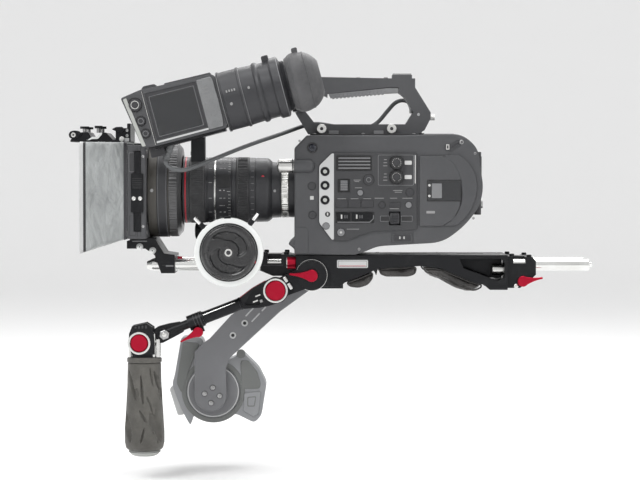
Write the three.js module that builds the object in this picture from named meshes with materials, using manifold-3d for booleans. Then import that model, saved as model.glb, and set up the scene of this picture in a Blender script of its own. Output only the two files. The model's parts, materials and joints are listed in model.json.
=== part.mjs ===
// A shoulder-mounted cinema camera rig: a support base with two cheeks, padded shoulder arch, rod clamps
// and four 15 mm rods; a follow focus, a two-part handgrip arm and a matte box on the rods; and a camera
// with a zoom lens, top handle, viewfinder and remote grip on the base.
// Millimetres. +X is the rear of the camera, -Y is the operator's left side and +Z is up. The origin is
// the centre of the tripod plate's bottom face.
import * as THREE from "three";
import { ConvexGeometry } from "three/addons/geometries/ConvexGeometry.js";
import { mergeVertices } from "three/addons/utils/BufferGeometryUtils.js";
import Module from "manifold-3d";

// ---------------------------------------------------------------- driving dimensions

const GAP = 0.3; // between pieces that touch or run on each other
const ROD = { radius: 7.5, y: 30, z: 30.5 };
const CHEEK = { inner: 44, outer: 50, front: -41.7, rear: 233.3, top: 44 };
const PLATE_THICKNESS = 5.5;
const TRIPOD = { length: 39, halfWidth: 40, thickness: 8 };
const ROSETTE = { x: -21.5, z: 18.2, radius: 20.5 };
const ELBOW = { x: -67.8, z: -0.3 };
const WRIST = { x: -242.7, z: -67.8 };
const ARM_PLANE = -73; // middle of the handgrip arm
const GRIP_AXIS_X = -237;
const FOCUS = { x: -126.6, z: 49.9, discRadius: 35.5, ringRadius: 44.3 };
const LENS = { z: 128, radius: 43.3 };
const BODY = { near: -56, far: 58, top: 201, bottom: 44.5 };
const PANEL_FACE = -59;
const HANDLE_HALF = 14;
const MATTE = { rear: -233.9, front: -258, low: 65.9, high: 186.5, half: 80 };
const HOOD = { front: -317, half: 105, low: 47.6, high: 190.6, wall: 2.5 };
const EVF = { x: -134.7, y: -104, z: 240.2, tilt: THREE.MathUtils.degToRad(14.8), halfDepth: 22 };
const EVF_CABLE_RADIUS = 2.75;
const REMOTE = { x: -157.9, z: -149.5 };

// ---------------------------------------------------------------- solids

const wasm = await Module();
wasm.setup();

// A closed three.js geometry as a manifold-3d solid.
function solid(geometry) {
  const bare = geometry.clone();
  bare.deleteAttribute("normal");
  bare.deleteAttribute("uv");
  const merged = mergeVertices(bare, 1e-4);
  const index = merged.index.array;
  const faces = [];
  for (let i = 0; i < index.length; i += 3) {
    const [a, b, c] = [index[i], index[i + 1], index[i + 2]];
    if (a !== b && b !== c && c !== a) faces.push([a, b, c]);
  }
  const make = (list) =>
    new wasm.Manifold(
      new wasm.Mesh({
        numProp: 3,
        vertProperties: merged.attributes.position.array,
        triVerts: new Uint32Array(list.flat()),
      }),
    );
  const made = make(faces);
  return made.volume() > 0 ? made : make(faces.map(([a, b, c]) => [a, c, b]));
}

const join = (first, ...others) => others.reduce((all, next) => all.add(next), first);
const cut = (first, ...others) => others.reduce((all, next) => all.subtract(next), first);

// A box between two values on each axis.
function block(x0, x1, y0, y1, z0, z1) {
  const geometry = new THREE.BoxGeometry(x1 - x0, y1 - y0, z1 - z0);
  geometry.translate((x0 + x1) / 2, (y0 + y1) / 2, (z0 + z1) / 2);
  return solid(geometry);
}

// An outline in the XZ plane, given as [x, z] points, drawn out from y0 to y1.
function slab(outline, y0, y1) {
  const shape = new THREE.Shape(outline.map(([x, z]) => new THREE.Vector2(x, z)));
  const geometry = new THREE.ExtrudeGeometry(shape, { depth: y1 - y0, bevelEnabled: false });
  geometry.rotateX(Math.PI / 2);
  geometry.translate(0, y1, 0);
  return solid(geometry);
}

// Turns a geometry made about +Y to lie about the named axis, through [the other two coordinates].
function onAxis(geometry, axis, [a, b]) {
  if (axis === "x") geometry.rotateZ(-Math.PI / 2).translate(0, a, b);
  if (axis === "y") geometry.translate(a, 0, b);
  if (axis === "z") geometry.rotateX(Math.PI / 2).translate(a, b, 0);
  return solid(geometry);
}

// A round bar or cone along an axis, from one value to another.
function bar(axis, radius, from, to, centre, sides = 28, farRadius = radius) {
  const geometry = new THREE.CylinderGeometry(farRadius, radius, to - from, sides);
  geometry.translate(0, (from + to) / 2, 0);
  return onAxis(geometry, axis, centre);
}

// A turned piece: a profile of [place along the axis, radius] points.
function turned(axis, profile, centre, sides = 40) {
  const points = profile.map(([along, radius]) => new THREE.Vector2(radius, along));
  return onAxis(new THREE.LatheGeometry(points, sides), axis, centre);
}

// A flat ring about an axis.
function ring(axis, inner, outer, from, to, centre, sides = 40) {
  const profile = [[from, inner], [from, outer], [to, outer], [to, inner], [from, inner]];
  return turned(axis, profile, centre, sides);
}

const hull = (points) => solid(new ConvexGeometry(points.map((p) => new THREE.Vector3(...p))));

// The points of an arc in the XZ plane, angles in degrees.
function arc(x, z, radius, from, to, steps = 10) {
  return Array.from({ length: steps + 1 }, (_, i) => {
    const angle = THREE.MathUtils.degToRad(from + ((to - from) * i) / steps);
    return [x + radius * Math.cos(angle), z + radius * Math.sin(angle)];
  });
}

// ---------------------------------------------------------------- scene graph

const finishes = {
  anodised: { color: 0x17181a, roughness: 0.42, metalness: 0.6 },
  red: { color: 0x8f0d22, roughness: 0.35, metalness: 0.7 },
  steel: { color: 0xc9cbc8, roughness: 0.22, metalness: 1 },
  leather: { color: 0x241d1b, roughness: 0.6, metalness: 0 },
  rubber: { color: 0x5f5d58, roughness: 0.8, metalness: 0 },
  charcoal: { color: 0x4a4b4e, roughness: 0.55, metalness: 0 },
  lightPlastic: { color: 0xd9dcda, roughness: 0.5, metalness: 0 },
  greyRubber: { color: 0x777a7b, roughness: 0.75, metalness: 0 },
  hoodCloth: { color: 0xb4bab9, roughness: 0.7, metalness: 0 },
};

const rig = new THREE.Group();

// Adds one named piece to a group. The solid is made about `place`.
function add(name, made, finish, place = [0, 0, 0], group = rig) {
  const { numProp, vertProperties, triVerts } = made.getMesh();
  const position = new Float32Array((vertProperties.length / numProp) * 3);
  for (let i = 0; i < position.length / 3; i++)
    position.set(vertProperties.subarray(i * numProp, i * numProp + 3), i * 3);
  const geometry = new THREE.BufferGeometry();
  geometry.setAttribute("position", new THREE.BufferAttribute(position, 3));
  geometry.setIndex(new THREE.BufferAttribute(new Uint32Array(triVerts), 1));
  geometry.computeVertexNormals();
  const mesh = new THREE.Mesh(geometry, new THREE.MeshStandardMaterial(finishes[finish]));
  mesh.name = name;
  mesh.position.set(...place);
  group.add(mesh);
}

// Both rods' bores, for a clamp between two places along X.
const rodBores = (x0, x1) =>
  [-1, 1].map((side) => bar("x", ROD.radius + GAP, x0, x1, [side * ROD.y, ROD.z], 32));

// ---------------------------------------------------------------- support base

// The cheeks' lower edge, from the front foot to the rear heel: the shoulder pads lie just under it.
const ARCH = [
  [14.9, 2.7],
  [21.9, 8.2],
  [59.5, 23.8],
  [62.4, 17.2],
  [64.6, 26.4],
  [118.6, 29.6],
  [145.1, 27.2],
  [184, 10.4],
  [202.2, 5.2],
];

function cheek() {
  const outline = [
    [CHEEK.front, CHEEK.top],
    [CHEEK.front, 14],
    [-30, 2.7],
    ...ARCH,
    [210, -1.3],
    [CHEEK.rear, -1.3],
    [CHEEK.rear, CHEEK.top],
  ];
  const window = [
    [170.7, 38.8],
    [176, 27],
    [221, 10.4],
    [229, 14],
    [229, 34],
    [224, 39.5],
  ];
  return cut(slab(outline, 0, CHEEK.outer - CHEEK.inner), slab(window, -1, 10));
}
add("left_cheek", cheek(), "anodised", [0, -CHEEK.outer, 0]);
add("right_cheek", cheek(), "anodised", [0, CHEEK.inner, 0]);

const between = CHEEK.inner - GAP;
const plateTop = block(
  CHEEK.front,
  CHEEK.rear,
  -between,
  between,
  CHEEK.top - PLATE_THICKNESS,
  CHEEK.top,
);
const screwSlots = [20, 95, 170].map((x) => block(x, x + 35, -4, 4, 30, 50));
add("top_plate", cut(plateTop, ...screwSlots), "anodised");

// The arched plate between the cheeks, which carries the three shoulder pads.
const carrierUnder = [
  [-30, TRIPOD.thickness + 0.6],
  [21.5, 9.6],
  [59.5, 25.2],
  [66, 28.4],
  [118.6, 31.4],
  [146, 28.8],
  [184.5, 12.4],
  [203, 7.2],
  [CHEEK.rear, 7.2],
];
const carrierThickness = 3;
const carrierOver = carrierUnder.map(([x, z]) => [x, z + carrierThickness]).reverse();
add("pad_carrier", slab([...carrierUnder, ...carrierOver], -between, between), "anodised");

const tripodHoles = [
  bar("z", 4.7, -1, TRIPOD.thickness + 1, [0, 22]),
  bar("z", 3.2, -1, TRIPOD.thickness + 1, [0, -22]),
];
const tripodPlate = block(
  -TRIPOD.length / 2,
  TRIPOD.length / 2,
  -TRIPOD.halfWidth,
  TRIPOD.halfWidth,
  0,
  TRIPOD.thickness,
);
add("tripod_plate", cut(tripodPlate, ...tripodHoles), "anodised");

// Shoulder pads: plain padded solids that follow the arch.
const PAD_HALF = 46;
const pads = {
  shoulder_pad_front: [
    [23, 7.4],
    [27, 3],
    [39, 1.2],
    [51.8, 5.2],
    [58.6, 14],
    [58.6, 22.2],
  ],
  shoulder_pad_middle: [
    [65.4, 25.6],
    [66.4, 19.5],
    [74, 16.2],
    [106, 16.2],
    [115, 19.5],
    [116.5, 28.6],
  ],
  shoulder_pad_rear: [
    [121.5, 28.6],
    [124, 22.6],
    [146, 15],
    [166, 3.8],
    [184, -2.2],
    [193, -3],
    [201, 1.2],
    [201.4, 4.6],
    [183.6, 9.6],
    [145, 26.4],
  ],
};
for (const [name, outline] of Object.entries(pads))
  add(name, slab(outline, -PAD_HALF, PAD_HALF), "leather");

// Rod clamps at both ends, each with two bores and a pair of windows over the rods.
const frontClamp = slab(
  [
    [-88.7, 23.4],
    [-84.5, 44.5],
    [-52.2, 44.5],
    [-42, 42],
    [-42, 16.5],
    [-72, 16.5],
  ],
  -42,
  42,
);
const rearClamp = slab(
  [
    [233.6, 0.8],
    [250, 0.8],
    [264, 12],
    [270.6, 18],
    [270.6, 36],
    [266, 41],
    [238, 42],
    [233.6, 42],
  ],
  -42,
  42,
);
const clampWindows = (x0, x1) => [-43, 17].map((y) => block(x0, x1, y, y + 26, 33, 50));
add(
  "front_rod_clamp",
  cut(frontClamp, ...clampWindows(-79, -61), ...rodBores(-90, -41)),
  "anodised",
);
add("rear_rod_clamp", cut(rearClamp, ...clampWindows(241, 257), ...rodBores(233, 272)), "anodised");

function clampedRod(length, noseAtStart) {
  const r = ROD.radius;
  const nose = [[0, 0], [0, 4.6], [7, r]];
  const plain = [[0, 0], [0, r - 0.8], [0.8, r]];
  const tip = [[length, r], [length + 0.6, 3], [length + 4.5, 3], [length + 4.5, 0]];
  const end = [[length - 0.8, r], [length, r - 0.8], [length, 0]];
  const profile = noseAtStart ? [...nose, ...end] : [...plain, ...tip];
  return turned("x", profile, [0, 0], 32);
}
for (const [side, sign] of [["left", -1], ["right", 1]]) {
  const y = sign * ROD.y;
  add(`front_rod_${side}`, clampedRod(193, true), "steel", [-236.6, y, ROD.z]);
  add(`rear_rod_${side}`, clampedRod(105, false), "steel", [236, y, ROD.z]);
}

// A cam lever: a round head on its pivot and a tail that thins out, lying along an angle in degrees.
function lever(headRadius, reach, thickness, angle) {
  const outline = [
    ...arc(0, 0, headRadius, 45, 315, 16),
    [reach * 0.5, -1.8],
    [reach, -1.4],
    [reach, 1.4],
    [reach * 0.5, 1.8],
  ];
  const turn = THREE.MathUtils.degToRad(angle);
  const turnedOutline = outline.map(([x, z]) => [
    x * Math.cos(turn) - z * Math.sin(turn),
    x * Math.sin(turn) + z * Math.cos(turn),
  ]);
  return slab(turnedOutline, -thickness, 0);
}
add("rear_clamp_lever", lever(7, 26, 6, 10), "red", [253.4, -42 - GAP, 9.6]);

// ---------------------------------------------------------------- handgrip arm

const rosetteFace = -57;
add(
  "arm_rosette",
  bar("y", ROSETTE.radius, rosetteFace, -CHEEK.outer - GAP, [ROSETTE.x, ROSETTE.z], 48),
  "anodised",
);

// The link between the rosette and the elbow: two round ends and a web, all in one plane.
const linkNear = -66;
const linkFar = rosetteFace - GAP;
const webPoints = [
  [ROSETTE.x, ROSETTE.z, 14],
  [ELBOW.x, ELBOW.z, 12.5],
];
const web = hull(
  webPoints.flatMap(([x, z, radius]) =>
    arc(x, z, radius, 0, 330, 11).flatMap(([px, pz]) => [
      [px, linkNear + 1.5, pz],
      [px, linkFar, pz],
    ]),
  ),
);
const link = join(
  bar("y", 19, linkNear, linkFar, [ROSETTE.x, ROSETTE.z], 40),
  web,
  bar("y", 15, linkNear, linkFar, [ELBOW.x, ELBOW.z], 36),
);
add("arm_link", link, "anodised");
add("rosette_lever", lever(7.5, 29, 8, 182), "red", [ROSETTE.x, linkNear - GAP, ROSETTE.z]);

// The telescopic arm, made along local +X from the elbow towards the wrist. Local +Z is its underside.
const reach = Math.hypot(WRIST.x - ELBOW.x, WRIST.z - ELBOW.z);
const arm = new THREE.Group();
arm.position.set(ELBOW.x, ARM_PLANE, ELBOW.z);
arm.rotation.y = Math.atan2(ELBOW.z - WRIST.z, WRIST.x - ELBOW.x);
rig.add(arm);

const earNear = -11;
const earFar = linkNear - GAP - ARM_PLANE;
const TUBE = { outer: 8, bore: 6.2, inner: 5.9, collarStart: 100, end: 120 };
const upperFork = slab(
  [...arc(0, 0, 17, 100, 260, 12), [14, -15.5], [26, -13.5], [46, -7.5], [46, 7.5], [26, 13.5], [14, 15.5]],
  earNear,
  earFar,
);
const buttonPocket = bar("y", 13.3, earNear - 1, earNear + 6, [0, 0], 36);
const tubeOutside = turned(
  "x",
  [[38, 0], [38, TUBE.outer], [TUBE.collarStart, TUBE.outer], [TUBE.collarStart, 10], [TUBE.end, 10], [TUBE.end, 0]],
  [0, 0],
  28,
);
const clampLug = block(104, 118, -5, 5, 6, 16);
const tubeBore = bar("x", TUBE.bore, 50, 130, [0, 0], 28);
add(
  "arm_tube_outer",
  cut(join(upperFork, tubeOutside, clampLug), buttonPocket, tubeBore),
  "anodised",
  [0, 0, 0],
  arm,
);
add(
  "elbow_button_upper",
  bar("y", 12.9, earNear - 2, earNear + 4.5, [0, 0], 36),
  "red",
  [0, 0, 0],
  arm,
);
add("arm_tube_lever", lever(5.5, 26, 6, 8), "red", [112, -5 - GAP, 14], arm);

const wristHalf = 6.2;
const innerTube = bar("x", TUBE.inner, 62, reach - 12, [0, 0], 24);
const wristFork = slab(
  [...arc(reach, 0, 13, -100, 100, 12), [reach - 14, 12], [reach - 38, 6], [reach - 38, -6], [reach - 14, -12]],
  -wristHalf,
  wristHalf,
);
add("arm_tube_inner", join(innerTube, wristFork), "anodised", [0, 0, 0], arm);

// The yoke that hugs the wrist, and the handgrip hanging from it.
const wrist = new THREE.Group();
wrist.position.set(WRIST.x, ARM_PLANE, WRIST.z);
rig.add(wrist);
const yokePlate = [
  [-9, 22],
  [9, 26],
  [18, 20],
  [20, 0],
  [20, -14.5],
  [-9, -14.5],
  [-13, -6],
  [-13, 12],
];
const yokeBridge = block(-9, 20, -12, 12, -18.3, -14);
const yoke = join(
  slab(yokePlate, -14, -wristHalf - GAP),
  slab(yokePlate, wristHalf + GAP, 12),
  yokeBridge,
);
const lowerPocket = bar("y", 11.8, -15, -8, [0, 0], 36);
add("grip_yoke", cut(yoke, lowerPocket), "anodised", [0, 0, 0], wrist);
add("elbow_button_lower", bar("y", 11.5, -15.4, -9.4, [0, 0], 36), "red", [0, 0, 0], wrist);

const GRIP = { top: -86.6, collar: -93, bottom: -206, capEnd: -214.6 };
const gripPlace = [GRIP_AXIS_X, ARM_PLANE, 0];
const gripCore = turned("z", [
  [GRIP.capEnd, 0],
  [GRIP.capEnd, 17],
  [GRIP.bottom, 20],
  [GRIP.bottom, 10],
  [GRIP.collar, 10],
  [GRIP.collar, 22],
  [GRIP.top, 20.5],
  [GRIP.top, 0],
], [0, 0], 28);
add("grip_core", gripCore, "anodised", gripPlace);
const handGrip = turned("z", [
  [GRIP.bottom + GAP, 10.3],
  [GRIP.bottom + GAP, 23],
  [-196, 26],
  [-178, 25.6],
  [-150, 23.6],
  [-120, 21.6],
  [GRIP.collar - GAP, 20],
  [GRIP.collar - GAP, 10.3],
  [GRIP.bottom + GAP, 10.3],
], [0, 0], 28);
add("hand_grip", handGrip, "rubber", gripPlace);

// ---------------------------------------------------------------- follow focus

const bridge = block(-141, -112, -44, 44, 19, 42);
add("ff_bridge", cut(bridge, ...rodBores(-142, -111)), "anodised");

const gearCentre = [0, LENS.z - LENS.radius - 0.5 - 10.3];
const gearShaft = { radius: 3, from: -163, to: -155 };
const gearbox = join(
  block(-146, -108, -90, -44.3, 33, 67),
  block(-162.6, -146, -62, -52, 50, 80),
  block(-162.6, -151, -62, 8, 62, 82),
);
const shaftBore = bar("x", gearShaft.radius + 0.3, -163, gearShaft.to + 0.4, gearCentre, 24);
const wheelBore = bar("y", 5.3, -91, -78, [FOCUS.x, FOCUS.z], 28);
add("ff_gearbox", cut(gearbox, shaftBore, wheelBore), "anodised");

const drive = join(
  bar("x", 10.3, -175.5, gearShaft.from, [0, 0], 32),
  bar("x", gearShaft.radius, gearShaft.from - 1, gearShaft.to, [0, 0], 20),
);
add("ff_drive_gear", drive, "anodised", [0, ...gearCentre]);

const wheel = turned("y", [
  [-121, 0],
  [-121, 30],
  [-119, 34.5],
  [-116, FOCUS.discRadius],
  [-112.6, FOCUS.discRadius],
  [-112.6, 12],
  [-92, 12],
  [-92, 5],
  [-79, 5],
  [-79, 0],
], [0, 0], 44);
add("ff_hand_wheel", wheel, "anodised", [FOCUS.x, 0, FOCUS.z]);

const pin = (angle) => {
  const place = THREE.MathUtils.degToRad(angle);
  const geometry = new THREE.CylinderGeometry(2.1, 2.9, 24, 14);
  geometry.translate(0, 50.5, 0);
  geometry.rotateZ(place - Math.PI / 2);
  geometry.rotateX(Math.PI / 2);
  geometry.translate(0, -109, 0);
  return solid(geometry);
};
const markingRing = ring("y", 12.3, FOCUS.ringRadius, -112.3, -105, [0, 0], 64);
add(
  "ff_marking_ring",
  join(markingRing, pin(135), pin(53)),
  "lightPlastic",
  [FOCUS.x, 0, FOCUS.z],
);

// ---------------------------------------------------------------- camera

const bodyOutline = [
  [-43.8, BODY.bottom],
  [-43.8, 52],
  [-52, 58.7],
  [-43.8, 66],
  [-43.8, 182.8],
  [-27.8, 199.3],
  [98.1, 199.3],
  [143, BODY.top],
  [173.1, BODY.top],
  [194.2, 182.8],
  [197.7, 154.4],
  [201.2, 131.6],
  [196.2, 106.9],
  [177, 82.2],
  [148.6, 60.5],
  [64.5, 55.7],
  [46.4, 48.1],
  [34.7, BODY.bottom],
];
const footPad = block(64.5, 162.8, -40, 40, BODY.bottom, 62);
const wheelPocket = block(78.8, 93.2, -60, -46, 83, 100.6);
const cameraBody = join(slab(bodyOutline, BODY.near, BODY.far), footPad);
add("camera_body", cut(cameraBody, wheelPocket), "charcoal");

const stripButtons = {
  assign_button_upper: 152.5,
  assign_button_middle: 134.5,
  assign_button_lower: 115.6,
};
const STRIP_X = -4.1;
const panelOutline = [
  [-11.9, 160],
  [-11.9, 86],
  [5, 63.8],
  [23.1, 63.3],
  [57.6, 75.5],
  [114.5, 77.5],
  [114.5, 176.4],
  [5, 176.4],
];
const panelNear = PANEL_FACE;
const panelFar = BODY.near - GAP;
const buttonHoles = Object.values(stripButtons).map((z) =>
  bar("y", 5.3, panelNear - 1, panelFar + 1, [STRIP_X, z], 24),
);
add(
  "control_panel",
  cut(slab(panelOutline, panelNear, panelFar), wheelPocket, ...buttonHoles),
  "charcoal",
);
for (const [name, z] of Object.entries(stripButtons))
  add(name, bar("y", 5, -60.4, -57.4, [0, 0], 24), "charcoal", [STRIP_X, 0, z]);

const doorOutline = [
  [118.3, 82.2],
  [148, 82.2],
  [162, 91],
  [170, 106],
  [172.4, 127],
  [170, 149],
  [162, 164],
  [148, 172.5],
  [118.3, 172.5],
];
add("card_door", slab(doorOutline, PANEL_FACE, panelFar), "charcoal");

add("nd_dial", bar("x", 9, -66, -44.2, [0, 0], 32), "steel", [0, -46, 159.6]);
for (const [name, z] of [["audio_dial_upper", 163.8], ["audio_dial_lower", 145.3]])
  add(name, bar("y", 8.2, -66, PANEL_FACE - GAP, [0, 0], 32), "charcoal", [88.3, 0, z]);
add("select_wheel", bar("x", 7.6, -6, 6, [0, 0], 28), "charcoal", [86, -56.5, 91.8]);

// The top handle is a closed loop with a finger gap; the grip insert sits in its underside.
const handleLoop = [
  [-26.4, 201.5],
  [-41.7, 226.9],
  [-48, 240],
  [-48, 262],
  [-36, 274],
  [-8.8, 276.2],
  [84.2, 274.4],
  [84.2, 279],
  [110, 279],
  [110, 274.4],
  [114.2, 274.4],
  [114.2, 262.5],
  [134.6, 229.8],
  [134.6, 222],
  [126.7, 206.6],
  [118.8, 201.5],
];
const fingerGap = [
  [-16.5, 214.3],
  [101.6, 214.3],
  [111.3, 229.8],
  [100.6, 249.3],
  [93.7, 255],
  [74.4, 253.9],
  [2.6, 247.6],
  [-9.2, 253.9],
  [-28, 252],
  [-33, 242],
  [-31, 232.7],
];
const insert = [
  [0, 254],
  [3.4, 247.4],
  [74.4, 253.6],
  [92, 254.8],
  [92, 262],
  [78, 262],
];
const insertRoom = [
  [-0.6, 254.3],
  [-1, 246],
  [74.4, 246],
  [92.4, 246],
  [92.4, 262.4],
  [77.8, 262.4],
];
const handleShell = cut(
  slab(handleLoop, -HANDLE_HALF, HANDLE_HALF),
  slab(fingerGap, -20, 20),
  slab(insertRoom, -20, 20),
);
add("top_handle", handleShell, "charcoal");
add("handle_grip", slab(insert, -HANDLE_HALF, HANDLE_HALF), "greyRubber");

// ---------------------------------------------------------------- zoom lens

const lensPlace = [0, 0, LENS.z];
const RINGS = {
  lens_focus_ring: { from: -181, to: -161, inner: 40.3, outer: LENS.radius, finish: "charcoal" },
  lens_zoom_ring: { from: -120, to: -103, inner: 40.3, outer: 43, finish: "charcoal" },
  lens_mount_ring: { from: -61.4, to: -51.5, inner: 33.8, outer: 36.2, finish: "steel" },
};
const seat = ({ from, to, inner }) => [
  [from - GAP, inner - GAP],
  [to + GAP, inner - GAP],
];
const barrel = turned("x", [
  [-183, 0],
  [-183, 36],
  [-190, 37.5],
  [-190, LENS.radius],
  [-181 - GAP, LENS.radius],
  ...seat(RINGS.lens_focus_ring),
  [-161 + GAP, LENS.radius - 0.6],
  [-125.4, 43],
  [-120 - GAP, 43],
  ...seat(RINGS.lens_zoom_ring),
  [-103 + GAP, 42.5],
  [-78, 41.8],
  [-73, 36.6],
  [-61.4 - GAP, 36.2],
  ...seat(RINGS.lens_mount_ring),
  [-51.5 + GAP, 36],
  [-44.1, 36],
  [-44.1, 0],
], [0, 0], 36);
add("lens_barrel", barrel, "charcoal", lensPlace);
for (const [name, { from, to, inner, outer, finish }] of Object.entries(RINGS))
  add(name, ring("x", inner, outer, from, to, [0, 0], 36), finish, lensPlace);

// ---------------------------------------------------------------- matte box

// The hood is an open funnel of thin wall, wider at the front.
function funnel(inset, front, rear) {
  const grow = (HOOD.half - MATTE.half) / (MATTE.front - HOOD.front);
  const drop = (MATTE.low - HOOD.low) / (MATTE.front - HOOD.front);
  return hull(
    [front, rear].flatMap((x) => {
      const half = MATTE.half + grow * (MATTE.front - x) - inset;
      const low = MATTE.low - drop * (MATTE.front - x) + inset;
      const high = HOOD.high - inset;
      return [-half, half].flatMap((y) => [
        [x, y, low],
        [x, y, high],
      ]);
    }),
  );
}
const hoodRear = MATTE.front - GAP;
add("matte_hood", cut(funnel(0, HOOD.front, hoodRear), funnel(HOOD.wall, -330, -250)), "hoodCloth");

const APERTURE = { half: 58, low: 84, high: 170 };
const stage = block(MATTE.front, MATTE.rear, -MATTE.half, MATTE.half, MATTE.low, MATTE.high);
const apertureCut = block(-270, -220, -APERTURE.half, APERTURE.half, APERTURE.low, APERTURE.high);
const TRAY = { from: -249, to: -241, low: 76, high: 178, far: 70 };
const traySlot = block(
  TRAY.from - GAP,
  TRAY.to + GAP,
  -MATTE.half - 1,
  TRAY.far + GAP,
  TRAY.low - GAP,
  TRAY.high + GAP,
);
add("matte_frame", cut(stage, apertureCut, traySlot), "charcoal");
const tray = join(
  block(TRAY.from, TRAY.to, -MATTE.half - 1, TRAY.far, TRAY.low, TRAY.high),
  block(-253, -237.5, -MATTE.half - 3, -MATTE.half - GAP, 100, 150),
);
add("filter_tray", cut(tray, apertureCut), "charcoal");

const matteRing = turned("x", [
  [MATTE.rear + GAP, 46],
  [MATTE.rear + GAP, 61],
  [-226, 61.8],
  [-214, 61.8],
  [-196, 61],
  [-191, 55],
  [-191, 46],
  [MATTE.rear + GAP, 46],
], [0, 0], 40);
add("matte_ring", matteRing, "charcoal", lensPlace);

const bracket = slab(
  [
    [MATTE.front, MATTE.low - GAP],
    [MATTE.front, 62],
    [-262, 62],
    [-262, 52],
    [-238, 52],
    [-226, 43.8],
    [-217.4, 20],
    [-199.8, 20],
    [-199.8, 43.8],
    [-213.5, 46],
    [-226, MATTE.low - GAP],
  ],
  -42,
  42,
);
add("matte_bracket", cut(bracket, ...rodBores(-230, -195)), "charcoal");

const flagPlate = [
  [-336, HOOD.high + GAP],
  [-336, 193.4],
  [-328, 203],
  [-313, 204],
  [-308, 196],
  [-301, 196],
  [-296, 204],
  [-289, 203],
  [-281, 194],
  [-277, 194],
  [-277, 209],
  [-262, 209],
  [-262, 215],
  [-257.5, 215],
  [-257.5, HOOD.high + GAP],
];
add("flag_bracket", slab(flagPlate, -34, 34), "charcoal");

// ---------------------------------------------------------------- viewfinder

// Made along local +X, the optical axis, which rises towards the eye.
const finder = new THREE.Group();
finder.position.set(EVF.x, EVF.y, EVF.z);
finder.rotation.y = -EVF.tilt;
rig.add(finder);

const finderCase = slab(
  [
    [-122, 37],
    [-111, -30.3],
    [-93, -32.6],
    [-3, -33],
    [-0.3, -30],
    [-0.3, 35],
    [-5.5, 37.5],
    [-96, 41],
  ],
  -EVF.halfDepth,
  EVF.halfDepth,
);
const cableSocket = block(-104, -86, -7, 7, -45, -32);
add("evf_body", join(finderCase, cableSocket), "charcoal", [0, 0, 0], finder);

const loupe = turned("x", [
  [0, 0],
  [0, 37.5],
  [2, 38.7],
  [26, 38.2],
  [47, 36.6],
  [50, 38.4],
  [54, 36.4],
  [68, 36.4],
  [72, 38.8],
  [79, 38.8],
  [82, 31],
  [88, 30],
  [88, 24],
  [40, 24],
  [40, 0],
], [0, 0], 32);
add("evf_loupe", loupe, "charcoal", [0, 0, 0], finder);

const eyecup = turned("x", [
  [88.4, 24],
  [88.4, 33],
  [96, 37.6],
  [106, 38.2],
  [118, 34],
  [127, 25],
  [129.5, 19],
  [127, 18],
  [112, 22],
  [88.4, 24],
], [0, 0], 32);
add("evf_eyecup", eyecup, "greyRubber", [0, 0, 0], finder);

// The bracket that carries the viewfinder from the handle's front post.
const armRail = { y: -52, z: 238, radius: 6 };
const finderMount = block(-176, -158, EVF.y + EVF.halfDepth + GAP, -58, 165, 246);
const railJoint = block(-176, -158, -60, -44, 230, 246);
const rail = bar("x", armRail.radius, -160, -34, [armRail.y, armRail.z], 24);
const handleJoint = block(-46, -32, -60, -HANDLE_HALF - GAP, 230, 246);
add("evf_arm", join(finderMount, railJoint, rail, handleJoint), "charcoal");

// The viewfinder lead, held at both ends: out of its socket, over the lens, along the far side of the
// handle's foot, up in a loop and back down into the camera's top.
const route = [
  [-207.3, -104, 166],
  [-204.6, -104, 160.5],
  [-197.3, -103, 156],
  [-185.8, -100, 154.4],
  [-176, -97, 156.6],
  [-166.7, -93, 160.2],
  [-147.8, -82, 168],
  [-128, -66, 176.5],
  [-109.5, -50, 184.1],
  [-90, -34, 191.6],
  [-70.5, -20, 198.4],
  [-54, -2, 204.5],
  [-37.1, 15, 211],
  [-26, 20.5, 214.4],
  [-13.2, 21.5, 215.4],
  [4, 22, 213],
  [22.7, 22, 209],
  [40, 22, 208],
  [55.9, 22, 211.6],
  [67.2, 22, 218.7],
  [78.9, 22, 232.3],
  [88.8, 22, 242.9],
  [99, 22, 246.6],
  [109, 22, 243],
  [117, 22, 233],
  [121, 22, 221],
  [122, 22, 210],
  [122, 22, BODY.top + 0.4],
];
const curve = new THREE.CatmullRomCurve3(route.map((p) => new THREE.Vector3(...p)));
const section = new THREE.Shape(
  Array.from({ length: 8 }, (_, i) => {
    const angle = (i * Math.PI) / 4;
    return new THREE.Vector2(Math.cos(angle), Math.sin(angle)).multiplyScalar(EVF_CABLE_RADIUS);
  }),
);
const lead = new THREE.ExtrudeGeometry(section, { steps: 56, extrudePath: curve, bevelEnabled: false });
add("evf_cable", solid(lead), "greyRubber");

// ---------------------------------------------------------------- remote grip on the far side

const remoteFar = 62;
const remoteArm = join(
  slab([...arc(ROSETTE.x, ROSETTE.z, 19, -60, 130, 14), [-131, -42], [-159.5, -73.2], [-167, -78.3],
    [-179.6, -90.7], ...arc(REMOTE.x, REMOTE.z, 21.6, 180, 360, 14), [-137, -112], [-132, -98.8],
    [-64.4, -36.3]], CHEEK.outer + GAP, remoteFar),
);
add("remote_arm", remoteArm, "charcoal");

const remoteShell = slab(
  [
    [-198.3, -71.8],
    [-207.5, -123.9],
    [-210.9, -134.8],
    [-205.9, -151.1],
    [-196.4, -174.1],
    [-186.1, -192.8],
    [-182.4, -178],
    [-158.4, -184],
    [-124.5, -176],
    [-99.4, -188.4],
    [-89.9, -178.2],
    [-83.1, -134.8],
    [-94, -113.1],
    [-115, -92.7],
    [-129.9, -100.9],
    [-157, -106],
    [-170.6, -72.4],
  ],
  remoteFar + GAP,
  104,
);
add("remote_grip", remoteShell, "charcoal");

export default rig;
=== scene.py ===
"""The looks of the cinema camera rig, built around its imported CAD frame."""
import json
import math

import bmesh
import bpy
from mathutils import Matrix, Vector, noise


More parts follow.
